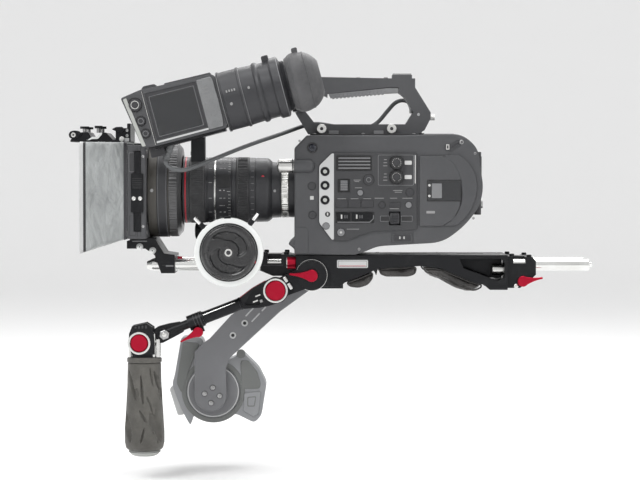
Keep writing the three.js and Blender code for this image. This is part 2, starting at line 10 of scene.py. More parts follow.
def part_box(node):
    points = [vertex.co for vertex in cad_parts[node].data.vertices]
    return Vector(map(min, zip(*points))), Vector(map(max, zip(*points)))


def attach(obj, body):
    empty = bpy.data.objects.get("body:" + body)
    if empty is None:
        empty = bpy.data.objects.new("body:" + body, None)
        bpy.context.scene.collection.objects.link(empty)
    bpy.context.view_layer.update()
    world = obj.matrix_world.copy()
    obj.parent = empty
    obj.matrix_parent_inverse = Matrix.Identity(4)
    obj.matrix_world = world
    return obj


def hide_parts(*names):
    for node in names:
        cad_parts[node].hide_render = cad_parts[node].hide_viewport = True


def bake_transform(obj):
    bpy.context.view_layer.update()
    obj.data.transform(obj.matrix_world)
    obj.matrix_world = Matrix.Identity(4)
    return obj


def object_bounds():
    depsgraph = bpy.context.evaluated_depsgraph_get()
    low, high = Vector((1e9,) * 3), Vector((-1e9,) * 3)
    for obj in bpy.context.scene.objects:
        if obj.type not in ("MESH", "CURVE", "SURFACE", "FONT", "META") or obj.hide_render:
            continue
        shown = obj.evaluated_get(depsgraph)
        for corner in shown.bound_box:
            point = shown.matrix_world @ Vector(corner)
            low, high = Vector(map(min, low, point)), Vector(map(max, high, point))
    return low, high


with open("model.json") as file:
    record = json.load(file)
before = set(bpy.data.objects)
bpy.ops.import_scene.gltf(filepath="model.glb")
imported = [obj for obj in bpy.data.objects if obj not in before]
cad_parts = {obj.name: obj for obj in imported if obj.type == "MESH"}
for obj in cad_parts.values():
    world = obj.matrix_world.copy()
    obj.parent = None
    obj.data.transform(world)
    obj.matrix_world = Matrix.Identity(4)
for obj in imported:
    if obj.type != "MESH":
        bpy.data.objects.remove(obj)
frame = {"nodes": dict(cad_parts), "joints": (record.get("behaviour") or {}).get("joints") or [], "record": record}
NODES = frame["nodes"]
BODIES = frame["record"]["behaviour"]["bodies"]
BODY_OF = {node: body for body, nodes in BODIES.items() for node in nodes}
PIVOT = {j["child"]: Vector(j["pos_m"]) for j in frame["joints"] if "pos_m" in j}
MM = 0.001


def corners(bounds):
    """A bounds pair as plain lists."""
    return [list(bounds[0]), list(bounds[1])]


cad_box = corners(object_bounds())

# ------------------------------------------------------------------ camera, light and floor

EYE = Vector((-0.0106, -2.9, 0.1596))
TARGET = Vector((-0.0106, 0.0, 0.0619))
LENS_MM = 123.6
FLOOR_DROP = 0.03  # under the rest pose; four poses still reach lower
FLOOR_Z = cad_box[0][2] - FLOOR_DROP
FLOOR_RADIUS, SWEEP, WALL_HEIGHT = 6.0, 1.4, 3.2


def make_camera():
    """The camera, at the height and distance that show the rig side on."""
    data = bpy.data.cameras.new("camera")
    data.lens = LENS_MM
    data.sensor_width = 36
    data.clip_end = 50
    camera = bpy.data.objects.new("camera", data)
    camera.location = EYE
    camera.rotation_euler = (TARGET - EYE).to_track_quat("-Z", "Y").to_euler()
    bpy.context.scene.collection.objects.link(camera)
    bpy.context.scene.camera = camera


def make_light(name, place, size, power, aim=(0, 0, 0.08), tint=(1, 1, 1)):
    """A soft rectangular lamp that the camera does not see."""
    data = bpy.data.lights.new(name, "AREA")
    data.shape = "RECTANGLE"
    data.size, data.size_y = size
    data.energy = power
    data.color = tint
    light = bpy.data.objects.new(name, data)
    light.location = place
    light.rotation_euler = (Vector(aim) - Vector(place)).to_track_quat("-Z", "Y").to_euler()
    light.visible_camera = False
    bpy.context.scene.collection.objects.link(light)


def make_studio():
    """Soft light over a pale floor that curves up into a wall all round."""
    scene = bpy.context.scene
    scene.view_settings.view_transform = "Standard"
    world = bpy.data.worlds.new("studio")
    world.use_nodes = True
    background = world.node_tree.nodes["Background"]
    background.inputs["Color"].default_value = (1, 1, 1, 1)
    background.inputs["Strength"].default_value = 0.85
    scene.world = world
    make_light("key", (-1.3, -1.7, 1.9), (1.2, 1.2), 30)
    make_light("fill", (1.6, -1.9, 0.7), (1.4, 1.4), 7)
    make_light("rim", (0.3, 1.5, 1.7), (1.6, 0.8), 22)
    make_light("overhead", (0, -0.1, 2.1), (1.6, 0.7), 16)
    bend = FLOOR_RADIUS - SWEEP
    line = [(0.001, 0.0), (2.0, 0.0), (bend, 0.0)]
    line += [(bend + SWEEP * math.sin(a), SWEEP - SWEEP * math.cos(a)) for a in (math.radians(10
        * i) for i in range(1, 10))]
    line += [(FLOOR_RADIUS, WALL_HEIGHT)]
    sides = 96
    verts = [(r * math.cos(2 * math.pi * k / sides), r * math.sin(2 * math.pi * k / sides),
        FLOOR_Z + z) for r, z in line for k in range(sides)]
    faces = [(i * sides + k, i * sides + (k + 1) % sides, (i + 1) * sides + (k + 1) % sides,
        (i + 1) * sides + k) for i in range(len(line) - 1) for k in range(sides)]
    mesh = bpy.data.meshes.new("studio_sweep")
    mesh.from_pydata(verts, [], faces)
    mesh.shade_smooth()
    sweep_object = bpy.data.objects.new("studio_sweep", mesh)
    scene.collection.objects.link(sweep_object)
    paper = bpy.data.materials.new("paper")
    paper.use_nodes = True
    shader = paper.node_tree.nodes["Principled BSDF"]
    shader.inputs["Base Color"].default_value = (0.9, 0.9, 0.9, 1)
    shader.inputs["Roughness"].default_value = 0.9
    mesh.materials.append(paper)


make_camera()
make_studio()

# ------------------------------------------------------------------ materials


class Paint:
    """A principled material whose colour, roughness and relief come from procedural nodes."""

    def __init__(self, name, colour, rough=0.5, metal=0.0, **sockets):
        self.material = bpy.data.materials.new(name)
        self.material.use_nodes = True
        self.tree = self.material.node_tree
        self.shader = self.tree.nodes["Principled BSDF"]
        self.shader.inputs["Base Color"].default_value = (*colour, 1)
        self.shader.inputs["Roughness"].default_value = rough
        self.shader.inputs["Metallic"].default_value = metal
        for socket, value in sockets.items():
            self.shader.inputs[socket.replace("_", " ")].default_value = value
        self.place = self.tree.nodes.new("ShaderNodeTexCoord").outputs["Object"]

    def node(self, kind, **values):
        made = self.tree.nodes.new(kind)
        for key, value in values.items():
            setattr(made, key, value)
        return made

    def link(self, source, target):
        self.tree.links.new(source, target)

    def stretched(self, scale):
        mapping = self.node("ShaderNodeMapping")
        mapping.inputs["Scale"].default_value = scale
        self.link(self.place, mapping.inputs["Vector"])
        return mapping.outputs["Vector"]

    def noise(self, scale, detail=3.0, rough=0.55, distort=0.0, stretch=None):
        made = self.node("ShaderNodeTexNoise")
        made.inputs["Scale"].default_value = scale
        made.inputs["Detail"].default_value = detail
        made.inputs["Roughness"].default_value = rough
        made.inputs["Distortion"].default_value = distort
        self.link(self.stretched(stretch) if stretch else self.place, made.inputs["Vector"])
        return made.outputs["Fac"]

    def cells(self, scale, feature="DISTANCE_TO_EDGE", stretch=None, jitter=1.0):
        made = self.node("ShaderNodeTexVoronoi", feature=feature)
        made.inputs["Scale"].default_value = scale
        made.inputs["Randomness"].default_value = jitter
        self.link(self.stretched(stretch) if stretch else self.place, made.inputs["Vector"])
        return made.outputs["Distance"]

    def wave(self, scale, direction="X", distort=0.0, profile="SIN"):
        made = self.node("ShaderNodeTexWave", bands_direction=direction, wave_profile=profile)
        made.inputs["Scale"].default_value = scale
        made.inputs["Distortion"].default_value = distort
        self.link(self.place, made.inputs["Vector"])
        return made.outputs["Fac"]

    def span(self, value, low, high, out_low, out_high):
        made = self.node("ShaderNodeMapRange")
        made.inputs["From Min"].default_value = low
        made.inputs["From Max"].default_value = high
        made.inputs["To Min"].default_value = out_low
        made.inputs["To Max"].default_value = out_high
        self.link(value, made.inputs["Value"])
        return made.outputs["Result"]

    def times(self, a, b):
        made = self.node("ShaderNodeMath", operation="MULTIPLY")
        self.link(a, made.inputs[0])
        if isinstance(b, (int, float)):
            made.inputs[1].default_value = b
        else:
            self.link(b, made.inputs[1])
        return made.outputs[0]

    def plus(self, a, b):
        made = self.node("ShaderNodeMath", operation="ADD")
        self.link(a, made.inputs[0])
        self.link(b, made.inputs[1])
        return made.outputs[0]

    def blend(self, factor, a, b):
        """A colour between a and b, each a colour or a socket."""
        made = self.node("ShaderNodeMix", data_type="RGBA")
        self.link(factor, made.inputs[0])
        for socket, value in ((made.inputs[6], a), (made.inputs[7], b)):
            if isinstance(value, tuple):
                socket.default_value = (*value, 1)
            else:
                self.link(value, socket)
        return made.outputs[2]

    def colour(self, socket):
        self.link(socket, self.shader.inputs["Base Color"])
        return self

    def roughness(self, socket):
        self.link(socket, self.shader.inputs["Roughness"])
        return self

    def relief(self, height, distance, strength=1.0):
        made = self.node("ShaderNodeBump")
        made.inputs["Strength"].default_value = strength
        made.inputs["Distance"].default_value = distance
        self.link(height, made.inputs["Height"])
        self.link(made.outputs["Normal"], self.shader.inputs["Normal"])
        return self


def anodised(name, colour, worn, rough=0.36, metal=0.75):
    """Bead-blasted and anodised aluminium, with faint paler patches where it has worn."""
    p = Paint(name, colour, rough, metal)
    blast = p.noise(2600, 2)
    cloud = p.noise(22, 4)
    wear = p.span(p.noise(70, 6, 0.6), 0.55, 0.8, 0, 0.09)
    p.colour(p.blend(wear, colour, worn))
    p.roughness(p.plus(p.span(cloud, 0.3, 0.7, rough - 0.06, rough + 0.07), p.times(blast, 0.05)))
    return p.relief(blast, 0.00012, 0.35).material


def moulded(name, colour, light, rough=0.55, grain=1500, depth=0.0001, coat=0.0):
    """Moulded or textured-paint plastic with a fine grain."""
    p = Paint(name, colour, rough, 0.0)
    p.shader.inputs["Coat Weight"].default_value = coat
    grain_height = p.cells(grain, "SMOOTH_F1")
    cloud = p.noise(14, 4)
    tone = p.blend(p.span(cloud, 0.3, 0.7, 0, 0.35), colour, light)
    p.colour(tone)
    p.roughness(p.span(p.noise(160, 4), 0.3, 0.7, rough - 0.07, rough + 0.08))
    return p.relief(grain_height, depth, 0.4).material


def polished_rod():
    """Ground steel with its grinding marks along the rod."""
    p = Paint("polished_rod", (0.76, 0.765, 0.75), 0.16, 1.0)
    grind = p.noise(900, 3, 0.6, 0, (0.04, 1, 1))
    p.roughness(p.span(grind, 0.3, 0.7, 0.12, 0.26))
    p.colour(p.blend(p.span(p.noise(30, 4), 0.35, 0.7, 0, 1), (0.76, 0.765, 0.75), (0.66, 0.66, 0.64)))
    return p.relief(grind, 0.00006, 0.2).material


def bright_metal(name, colour, rough=0.24):
    """Turned bare metal with fine tool marks."""
    p = Paint(name, colour, rough, 1.0)
    turning = p.noise(1400, 3, 0.6)
    p.roughness(p.span(turning, 0.3, 0.7, rough - 0.07, rough + 0.1))
    p.colour(p.blend(p.span(p.noise(60, 4), 0.35, 0.7, 0, 1), colour, tuple(0.85 * c for c in colour)))
    return p.relief(turning, 0.00005, 0.3).material


def leather():
    """Soft brown-black leather: pebbled grain, creases and rubbed high spots."""
    base, rubbed = (0.016, 0.0145, 0.0135), (0.10, 0.094, 0.088)
    p = Paint("pad_leather", base, 0.46, 0.0)
    p.shader.inputs["Sheen Weight"].default_value = 0.15
    p.shader.inputs["Sheen Roughness"].default_value = 0.5
    pebble = p.cells(620, "DISTANCE_TO_EDGE")
    crease = p.noise(75, 6, 0.62, 1.6)
    rub = p.times(p.span(p.noise(38, 5), 0.42, 0.72, 0, 1), p.span(pebble, 0.0, 0.3, 0.2, 1))
    p.colour(p.blend(rub, base, rubbed))
    p.roughness(p.span(crease, 0.3, 0.7, 0.34, 0.58))
    height = p.plus(p.times(p.span(pebble, 0, 0.25, 0, 1), 0.35), crease)
    return p.relief(height, 0.0006, 0.6).material


def rubber(name, colour, light, rough=0.72, pits=1100):
    """Matt rubber with pits and a little dust."""
    p = Paint(name, colour, rough, 0.0)
    p.shader.inputs["Sheen Weight"].default_value = 0.12
    dust = p.span(p.noise(26, 6, 0.65), 0.38, 0.72, 0, 1)
    p.colour(p.blend(dust, colour, light))
    p.roughness(p.span(p.noise(240, 4), 0.3, 0.7, rough - 0.1, rough + 0.1))
    return p.relief(p.plus(p.noise(pits, 3), p.times(p.noise(130, 4), 0.6)), 0.00022, 0.5).material


def crinkled_cloth():
    """Coated hood cloth: a fine weave under folds that hang from the top edge."""
    # The pale grey base colour is painted light: the hood is black and looks grey where light reflects off it. The
    # darker colour that follows the folds is painted shade.
    base, shade = (0.40, 0.415, 0.415), (0.25, 0.262, 0.262)
    p = Paint("hood_cloth", base, 0.62, 0.0)
    p.shader.inputs["Sheen Weight"].default_value = 0.2
    folds = p.noise(38, 6, 0.66, 1.4, (1, 1, 0.35))
    weave = p.plus(p.wave(420, "Z"), p.wave(420, "X"))
    p.colour(p.blend(p.span(folds, 0.35, 0.68, 0, 1), base, shade))
    p.roughness(p.span(folds, 0.3, 0.7, 0.5, 0.75))
    return p.relief(p.plus(p.times(folds, 4), p.times(weave, 0.1)), 0.0016, 0.8).material


def glossy(name, colour, rough=0.1):
    """A smooth dark surface with faint smears."""
    p = Paint(name, colour, rough, 0.0)
    smear = p.noise(45, 5, 0.6, 0.8)
    p.roughness(p.span(smear, 0.35, 0.7, rough, rough + 0.12))
    return p.relief(p.noise(900, 2), 0.00002, 0.2).material


def screen():
    """A dead display behind glass, with a faint mottled reflection coat."""
    p = Paint("screen_glass", (0.014, 0.015, 0.017), 0.08, 0.0)
    p.shader.inputs["Coat Weight"].default_value = 0.6
    p.roughness(p.span(p.noise(30, 5, 0.6, 1.0), 0.35, 0.7, 0.06, 0.2))
    return p.relief(p.noise(700, 2), 0.00002, 0.15).material


def clear_filter():
    """A coated filter plate: dark and glossy, with faint smears."""
    p = Paint("filter_glass", (0.02, 0.024, 0.03), 0.04, 0.0)
    p.shader.inputs["Coat Weight"].default_value = 0.8
    p.roughness(p.span(p.noise(24, 5, 0.6, 1.2), 0.35, 0.7, 0.03, 0.14))
    return p.relief(p.noise(500, 2), 0.00001, 0.1).material


MAT = {
    "black": anodised("anodised_black", (0.016, 0.0165, 0.018), (0.16, 0.16, 0.16)),
    "red": anodised("anodised_red", (0.38, 0.006, 0.026), (0.72, 0.12, 0.14), 0.3, 0.8),
    "rod": polished_rod(),
    "silver": bright_metal("machined_silver", (0.72, 0.72, 0.7)),
    "screw": bright_metal("screw_steel", (0.42, 0.42, 0.42), 0.3),
    "chrome": bright_metal("chrome_pin", (0.86, 0.86, 0.85), 0.08),
    "leather": leather(),
    "grip": rubber("grip_rubber", (0.066, 0.063, 0.056), (0.125, 0.12, 0.108)),
    "shell": moulded("camera_shell", (0.052, 0.053, 0.057), (0.085, 0.086, 0.09)),
    "panel": moulded("panel_plastic", (0.03, 0.0305, 0.033), (0.06, 0.061, 0.064), 0.5, 2200),
    "dark": moulded("dark_plastic", (0.024, 0.024, 0.027), (0.055, 0.055, 0.06), 0.48, 1900),
    "pale": moulded("pale_plastic", (0.47, 0.475, 0.475), (0.56, 0.565, 0.565), 0.42, 2400),
    "mark": moulded("marking_paint", (0.5, 0.5, 0.49), (0.6, 0.6, 0.59), 0.6, 2600),
    "lens": anodised("lens_paint", (0.036, 0.0365, 0.04), (0.1, 0.1, 0.105), 0.4, 0.25),
    "white": moulded("white_ring", (0.74, 0.755, 0.745), (0.82, 0.83, 0.82), 0.34, 2600, 0.00004, 0.3),
    "grey_rubber": rubber("grey_rubber", (0.15, 0.153, 0.158), (0.21, 0.213, 0.217)),
    "eyecup": rubber("eyecup_rubber", (0.052, 0.052, 0.055), (0.085, 0.085, 0.088), 0.6),
    "cloth": crinkled_cloth(),
    "cable": rubber("cable_jacket", (0.085, 0.09, 0.094), (0.12, 0.124, 0.127), 0.5, 1600),
    "glass": glossy("lens_glass", (0.01, 0.012, 0.02), 0.05),
    "screen": screen(),
    "red_paint": moulded("red_paint", (0.45, 0.012, 0.03), (0.55, 0.03, 0.05), 0.35, 2600),
    "cap": anodised("pale_cap", (0.42, 0.43, 0.41), (0.6, 0.6, 0.58), 0.4, 0.4),
    "remote": moulded("remote_shell", (0.25, 0.256, 0.266), (0.34, 0.345, 0.352), 0.45, 1700),
    # A grey metal used only for painted highlights: the ring on the focus wheel and the band by the finder screen.
    "painted_highlight_metal": bright_metal("painted_highlight_band", (0.3, 0.305, 0.31), 0.32),
    "wheel": moulded("wheel_black", (0.008, 0.008, 0.009), (0.013, 0.013, 0.014), 0.3, 1500, 0.00005, 0.5),
    "mark_grey": moulded("grey_marks", (0.25, 0.25, 0.25), (0.3, 0.3, 0.3), 0.6, 2600),
    "edge_dark": moulded("edge_dark", (0.012, 0.012, 0.013), (0.03, 0.03, 0.032), 0.5, 2400),
    "slat": moulded("slat_grey", (0.16, 0.162, 0.168), (0.22, 0.222, 0.226), 0.4, 2400),
    "ring_rubber": rubber("ring_rubber", (0.022, 0.022, 0.024), (0.048, 0.048, 0.05), 0.62),
    "brown": anodised("brown_grey_paint", (0.075, 0.07, 0.062), (0.16, 0.155, 0.145), 0.42, 0.2),
    "streak": anodised("ribbed_grey", (0.1, 0.1, 0.102), (0.3, 0.3, 0.3), 0.28, 0.6),
    "filter_glass": clear_filter(),
    "arm_grey": anodised("grey_arm", (0.17, 0.172, 0.18), (0.3, 0.3, 0.31), 0.42, 0.35),
    "remote_dark": moulded("remote_dark", (0.14, 0.146, 0.142), (0.2, 0.206, 0.2), 0.4, 1700),
}


# ------------------------------------------------------------------ mesh building, in millimetres


def box_of(node):
    """x0, x1, y0, y1, z0, z1 of a CAD node."""
    low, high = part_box(node)
    return [1000 * v for pair in zip(low, high) for v in pair]


def eased(points, size, closed=False, steps=3):
    """A line whose corners are rounded off by up to size."""
    points = [Vector(p) for p in points]
    made = []
    for i, p in enumerate(points):
        if not closed and i in (0, len(points) - 1):
            made.append(tuple(p))
            continue
        back, on = points[i - 1] - p, points[(i + 1) % len(points)] - p
        reach = min(size, back.length * 0.45, on.length * 0.45)
        if reach < 1e-3:
            made.append(tuple(p))
            continue
        a, b = p + back.normalized() * reach, p + on.normalized() * reach
        for k in range(steps + 1):
            t = k / steps
            made.append(tuple(a * (1 - t) ** 2 + p * (2 * t * (1 - t)) + b * t * t))
    return made


def rect(a0, a1, b0, b1):
    """The corners of a rectangle."""
    return [(a0, b0), (a1, b0), (a1, b1), (a0, b1)]


def circle(a, b, radius, steps=32, start=0, end=360):
    """Points along a circle or an arc of one."""
    full = end - start >= 360
    count = steps if full else steps + 1
    return [(a + radius * math.cos(math.radians(start + (end - start) * i / steps)),
        b + radius * math.sin(math.radians(start + (end - start) * i / steps))) for i in range(count)]


def on_axis(axis, along, u, v):
    """A point given along and across an axis."""
    return {"x": (along, u, v), "y": (u, along, v), "z": (u, v, along)}[axis]


def rounded_edges(part, width, angle=30, segments=2):
    """Faces turned outwards, and edges sharper than angle rounded."""
    bmesh.ops.recalc_face_normals(part, faces=part.faces)
    if width:
        turn = math.radians(angle)
        edges = [e for e in part.edges if len(e.link_faces) == 2 and e.calc_face_angle(0) > turn]
        bmesh.ops.bevel(part, geom=edges, offset=width, segments=segments, profile=0.6, affect="EDGES",
            clamp_overlap=True)
    return part


def part_of(verts, faces, edge=0.0, angle=30, segments=2):
    """A bmesh part from its points and faces."""
    mesh = bpy.data.meshes.new("part")
    mesh.from_pydata(verts, [], faces)
    part = bmesh.new()
    part.from_mesh(mesh)
    bpy.data.meshes.remove(mesh)
    return rounded_edges(part, edge, angle, segments)


def prism(outline, low, high, axis="y", ease=0.0, edge=0.4, segments=2):
    """An outline across an axis, drawn out along it."""
    if ease:
        outline = eased(outline, ease, closed=True)
    n = len(outline)
    verts = [on_axis(axis, place, a, b) for place in (low, high) for a, b in outline]
    faces = [list(range(n)), list(range(2 * n - 1, n - 1, -1))]
    faces += [(i, (i + 1) % n, n + (i + 1) % n, n + i) for i in range(n)]
    return part_of(verts, faces, edge, segments=segments)


def rim(outer, inner, low, high, axis="y", edge=0.3):
    """A flat frame between two outlines with the same number of points."""
    n = len(outer)
    verts = [on_axis(axis, place, a, b) for place in (low, high) for line in (outer, inner) for a,
        b in line]
    faces = []
    for i in range(n):
        j = (i + 1) % n
        faces += [(i, j, n + j, n + i), (2 * n + i, 3 * n + i, 3 * n + j, 2 * n + j), (i, 2 * n + i,
            2 * n + j, j), (n + i, n + j, 3 * n + j, 3 * n + i)]
    return part_of(verts, faces, edge)


def lathe(axis, profile, centre=(0, 0), sides=72, shape=None, ease=0.0):
    """A turned solid: [place along the axis, radius] points, closed if it ends where it starts.
    shape(angle, along, radius) may change a radius, for teeth and grooves."""
    loop = profile[0] == profile[-1]
    if ease:
        profile = eased(profile[:-1] if loop else profile, ease, closed=loop, steps=2)
        if loop:
            profile = profile + [profile[0]]
    verts, faces, rings = [], [], []
    for along, radius in profile[:-1] if loop else profile:
        if radius < 1e-6:
            rings.append([len(verts)])
            verts.append(on_axis(axis, along, *centre))
            continue
        rings.append(list(range(len(verts), len(verts) + sides)))
        for k in range(sides):
            angle = 2 * math.pi * k / sides
            r = shape(angle, along, radius) if shape else radius
            verts.append(on_axis(axis, along, centre[0] + r * math.cos(angle),
                centre[1] + r * math.sin(angle)))
    pairs = list(zip(rings, rings[1:])) + ([(rings[-1], rings[0])] if loop else [])
    for a, b in pairs:
        for k in range(sides):
            j = (k + 1) % sides
            corner = [a[k % len(a)], a[j % len(a)], b[j % len(b)], b[k % len(b)]]
            face = [v for i, v in enumerate(corner) if v not in corner[:i]]
            if len(face) > 2:
                faces.append(face)
    if not loop:
        faces += [ring for ring in (rings[0], rings[-1]) if len(ring) > 1]
    return part_of(verts, faces)


def disc(axis, centre, low, high, radius, sides):
    """A plain round block."""
    return lathe(axis, [(low, 0), (low, radius), (high, radius), (high, 0)], centre, sides)


def ring_of(axis, centre, low, high, inner, outer, sides=64, ease=0.4, shape=None):
    """A ring of square section."""
    profile = [(low, inner), (low, outer), (high, outer), (high, inner), (low, inner)]
    return lathe(axis, profile, centre, sides, shape, ease)


def ribs(count, depth, low=-1e9, high=1e9, duty=0.0):
    """Grooves cut along a turned piece, count of them round it."""
    def shape(angle, along, radius):
        cut = depth if math.cos(count * angle) < duty and low < along < high else 0
        return radius - cut
    return shape


def tube(points, radius, sides=12, closed=False):
    """A round tube along a line of points. radius is a number, or a function of the share along it."""
    points = [Vector(p) for p in points]
    n = len(points)
    verts, faces = [], []
    side = None
    for i, p in enumerate(points):
        ahead = points[(i + 1) % n] if closed else points[min(i + 1, n - 1)]
        behind = points[i - 1] if closed else points[max(i - 1, 0)]
        along = (ahead - behind).normalized()
        if side is None:
            side = along.orthogonal().normalized()
        side = (side - along * side.dot(along)).normalized()
        up = along.cross(side)
        r = radius(i / (n - 1)) if callable(radius) else radius
        for k in range(sides):
            a = 2 * math.pi * k / sides
            verts.append(tuple(p + side * (r * math.cos(a)) + up * (r * math.sin(a))))
    for i in range(n if closed else n - 1):
        for k in range(sides):
            a, b = i * sides, (i + 1) % n * sides
            faces.append((a + k, a + (k + 1) % sides, b + (k + 1) % sides, b + k))
    if not closed:
        faces += [list(range(sides)), list(range((n - 1) * sides, n * sides))]
    return part_of(verts, faces)


def cad(node, edge=0.7, angle=30, segments=2):
    """A CAD node's own shape, with its edges rounded."""
    part = bmesh.new()
    part.from_mesh(NODES[node].data)
    bmesh.ops.scale(part, vec=(1000, 1000, 1000), verts=part.verts)
    bmesh.ops.remove_doubles(part, verts=part.verts, dist=0.02)
    bmesh.ops.dissolve_limit(part, angle_limit=math.radians(1), verts=part.verts, edges=part.edges)
    return rounded_edges(part, edge, angle, segments)


def object_of(part, name="part", scale=1.0):
    """A part as an object in the scene."""
    mesh = bpy.data.meshes.new(name)
    bmesh.ops.scale(part, vec=(scale,) * 3, verts=part.verts)
    part.to_mesh(mesh)
    part.free()
    made = bpy.data.objects.new(name, mesh)
    bpy.context.scene.collection.objects.link(made)
    return made


def carve(part, *cutters, operation="DIFFERENCE"):
    """The part with each cutter taken out of it."""
    base = object_of(part)
    tools = [object_of(cutter) for cutter in cutters]
    for tool in tools:
        change = base.modifiers.new("carve", "BOOLEAN")
        change.operation, change.solver, change.object = operation, "EXACT", tool
    bpy.context.view_layer.update()
    result = base.evaluated_get(bpy.context.evaluated_depsgraph_get()).to_mesh()
    carved = bmesh.new()
    carved.from_mesh(result)
    for obj in (base, *tools):
        bpy.data.objects.remove(obj)
    bmesh.ops.remove_doubles(carved, verts=carved.verts, dist=0.01)
    return carved


def turned_to(origin, along):
    """The frame with its origin at a point and its X axis along a direction in the XZ plane."""
    x = Vector(along).normalized()
    y = Vector((0, 1, 0))
    z = x.cross(y)
    turn = Matrix((x, y, z)).transposed().to_4x4()
    return Matrix.Translation(origin) @ turn


class Piece:
    """One visible object, gathered from parts in several materials."""

    def __init__(self, name, slot, *nodes, body=None):
        self.name, self.slot, self.nodes = name, slot, nodes
        self.body = body or BODY_OF[nodes[0]]
        self.shape = bmesh.new()
        self.materials = []

    def add(self, material, *parts, turn=None):
        """Takes in parts made in millimetres, all in one material."""
        material = MAT[material]
        if material not in self.materials:
            self.materials.append(material)
        for part in parts:
            for face in part.faces:
                face.material_index = self.materials.index(material)
            if turn is not None:
                bmesh.ops.transform(part, matrix=turn, verts=part.verts)
            mesh = bpy.data.meshes.new("part")
            part.to_mesh(mesh)
            part.free()
            self.shape.from_mesh(mesh)
            bpy.data.meshes.remove(mesh)
        return self

    def plate(self, material, spans, *where, **shape):
        """Takes in one block: its spans across an axis, then prism's own arguments."""
        return self.add(material, prism(rect(*spans), *where, **shape))

    def screws(self, axis, face, radius, height, *centres):
        """Takes in a small cap screw at each centre."""
        for centre in centres:
            self.add("screw", bolt(axis, centre, face, radius, height, 20))

    def done(self, smooth=34):
        obj = object_of(self.shape, self.name, MM)
        for material in self.materials:
            obj.data.materials.append(material)
        obj.data.shade_smooth()
        obj.data.set_sharp_from_angle(angle=math.radians(smooth))
        obj.modifiers.new("normals", "WEIGHTED_NORMAL").keep_sharp = True
        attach(obj, self.body)
        if self.nodes:
            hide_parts(*self.nodes)
        return obj


def bolt(axis, centre, face, radius, height, sides=28):
    """A cap screw standing on a face; a negative height stands towards lower values."""
    h = height
    return lathe(axis, [(face - h * 0.1, 0), (face - h * 0.1, radius), (face + h * 0.75, radius),
        (face + h, radius * 0.86), (face + h, radius * 0.52), (face + h * 0.4, radius * 0.46),
        (face + h * 0.4, 0)], centre, sides)


def teardrop(head, reach, tail, angle):
    """The outline of a cam lever: a round head and a tail that thins out along an angle."""
    side = [(head * math.cos(a), head * math.sin(a)) for a in (math.radians(180 - 12
        * i) for i in range(12))]
    for i in range(1, 11):
        t = i / 10
        ease = (1 - t) ** 2.1
        side.append((head * 0.67 + (reach - head * 0.67) * t, tail + (head * 0.743 - tail) * ease))
    full = side + [(x, -z) for x, z in reversed(side[1:])]
    turn = math.radians(angle)
    return [(x * math.cos(turn) - z * math.sin(turn), x * math.sin(turn) + z * math.cos(turn)) for x,
        z in full]


def shifted(outline, dx, dz):
    """An outline moved in the XZ plane."""
    return [(x + dx, z + dz) for x, z in outline]


# ------------------------------------------------------------------ the viewfinder lead

LEAD_DIAMETER = 0.0055
LEAD_ROUTE = [(-207.3, -104, 166), (-204.6, -104, 160.5), (-197.3, -103, 156), (-185.8, -100, 154.4),
    (-176, -97, 156.6), (-166.7, -93, 160.2), (-147.8, -82, 168), (-128, -66, 176.5), (-109.5, -50,
    184.1), (-90, -34, 191.6), (-70.5, -20, 198.4), (-54, -2, 204.5), (-37.1, 15, 211), (-26, 20.5,
    214.4), (-13.2, 21.5, 215.4), (4, 22, 213), (22.7, 22, 209), (40, 22, 208), (55.9, 22, 211.6),
    (67.2, 22, 218.7), (78.9, 22, 232.3), (88.8, 22, 242.9), (99, 22, 246.6), (109, 22, 243), (117, 22,
    233), (121, 22, 221), (122, 22, 210), (122, 22, 201.4),]


def smooth_line(points, steps=6):
    """A Catmull-Rom curve through the points."""
    p = [Vector(q) for q in points]
    p = [p[0] * 2 - p[1], *p, p[-1] * 2 - p[-2]]
    made = []
    for i in range(1, len(p) - 2):
        for k in range(steps):
            t = k / steps
            a, b, c, d = p[i - 1], p[i], p[i + 1], p[i + 2]
            made.append((b * 2 + (c - a) * t + (a * 2 - b * 5 + c * 4 - d) * t ** 2 + (b * 3 - a
                - c * 3 + d) * t ** 3) / 2)
    return made + [p[-2]]


def make_lead():
    """The lead from the viewfinder over the lens to the camera."""
    line = smooth_line(LEAD_ROUTE)
    lead = object_of(tube(line, 500 * LEAD_DIAMETER, 16), "viewfinder_lead", MM)
    lead.data.materials.append(MAT["cable"])
    lead.data.shade_smooth()
    lead.data.set_sharp_from_angle(angle=math.radians(50))
    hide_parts("evf_cable")
    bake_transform(lead)


make_lead()

# ------------------------------------------------------------------ support base and rods

ROD_Y, ROD_Z, ROD_R = -30, 30.5, 7.5


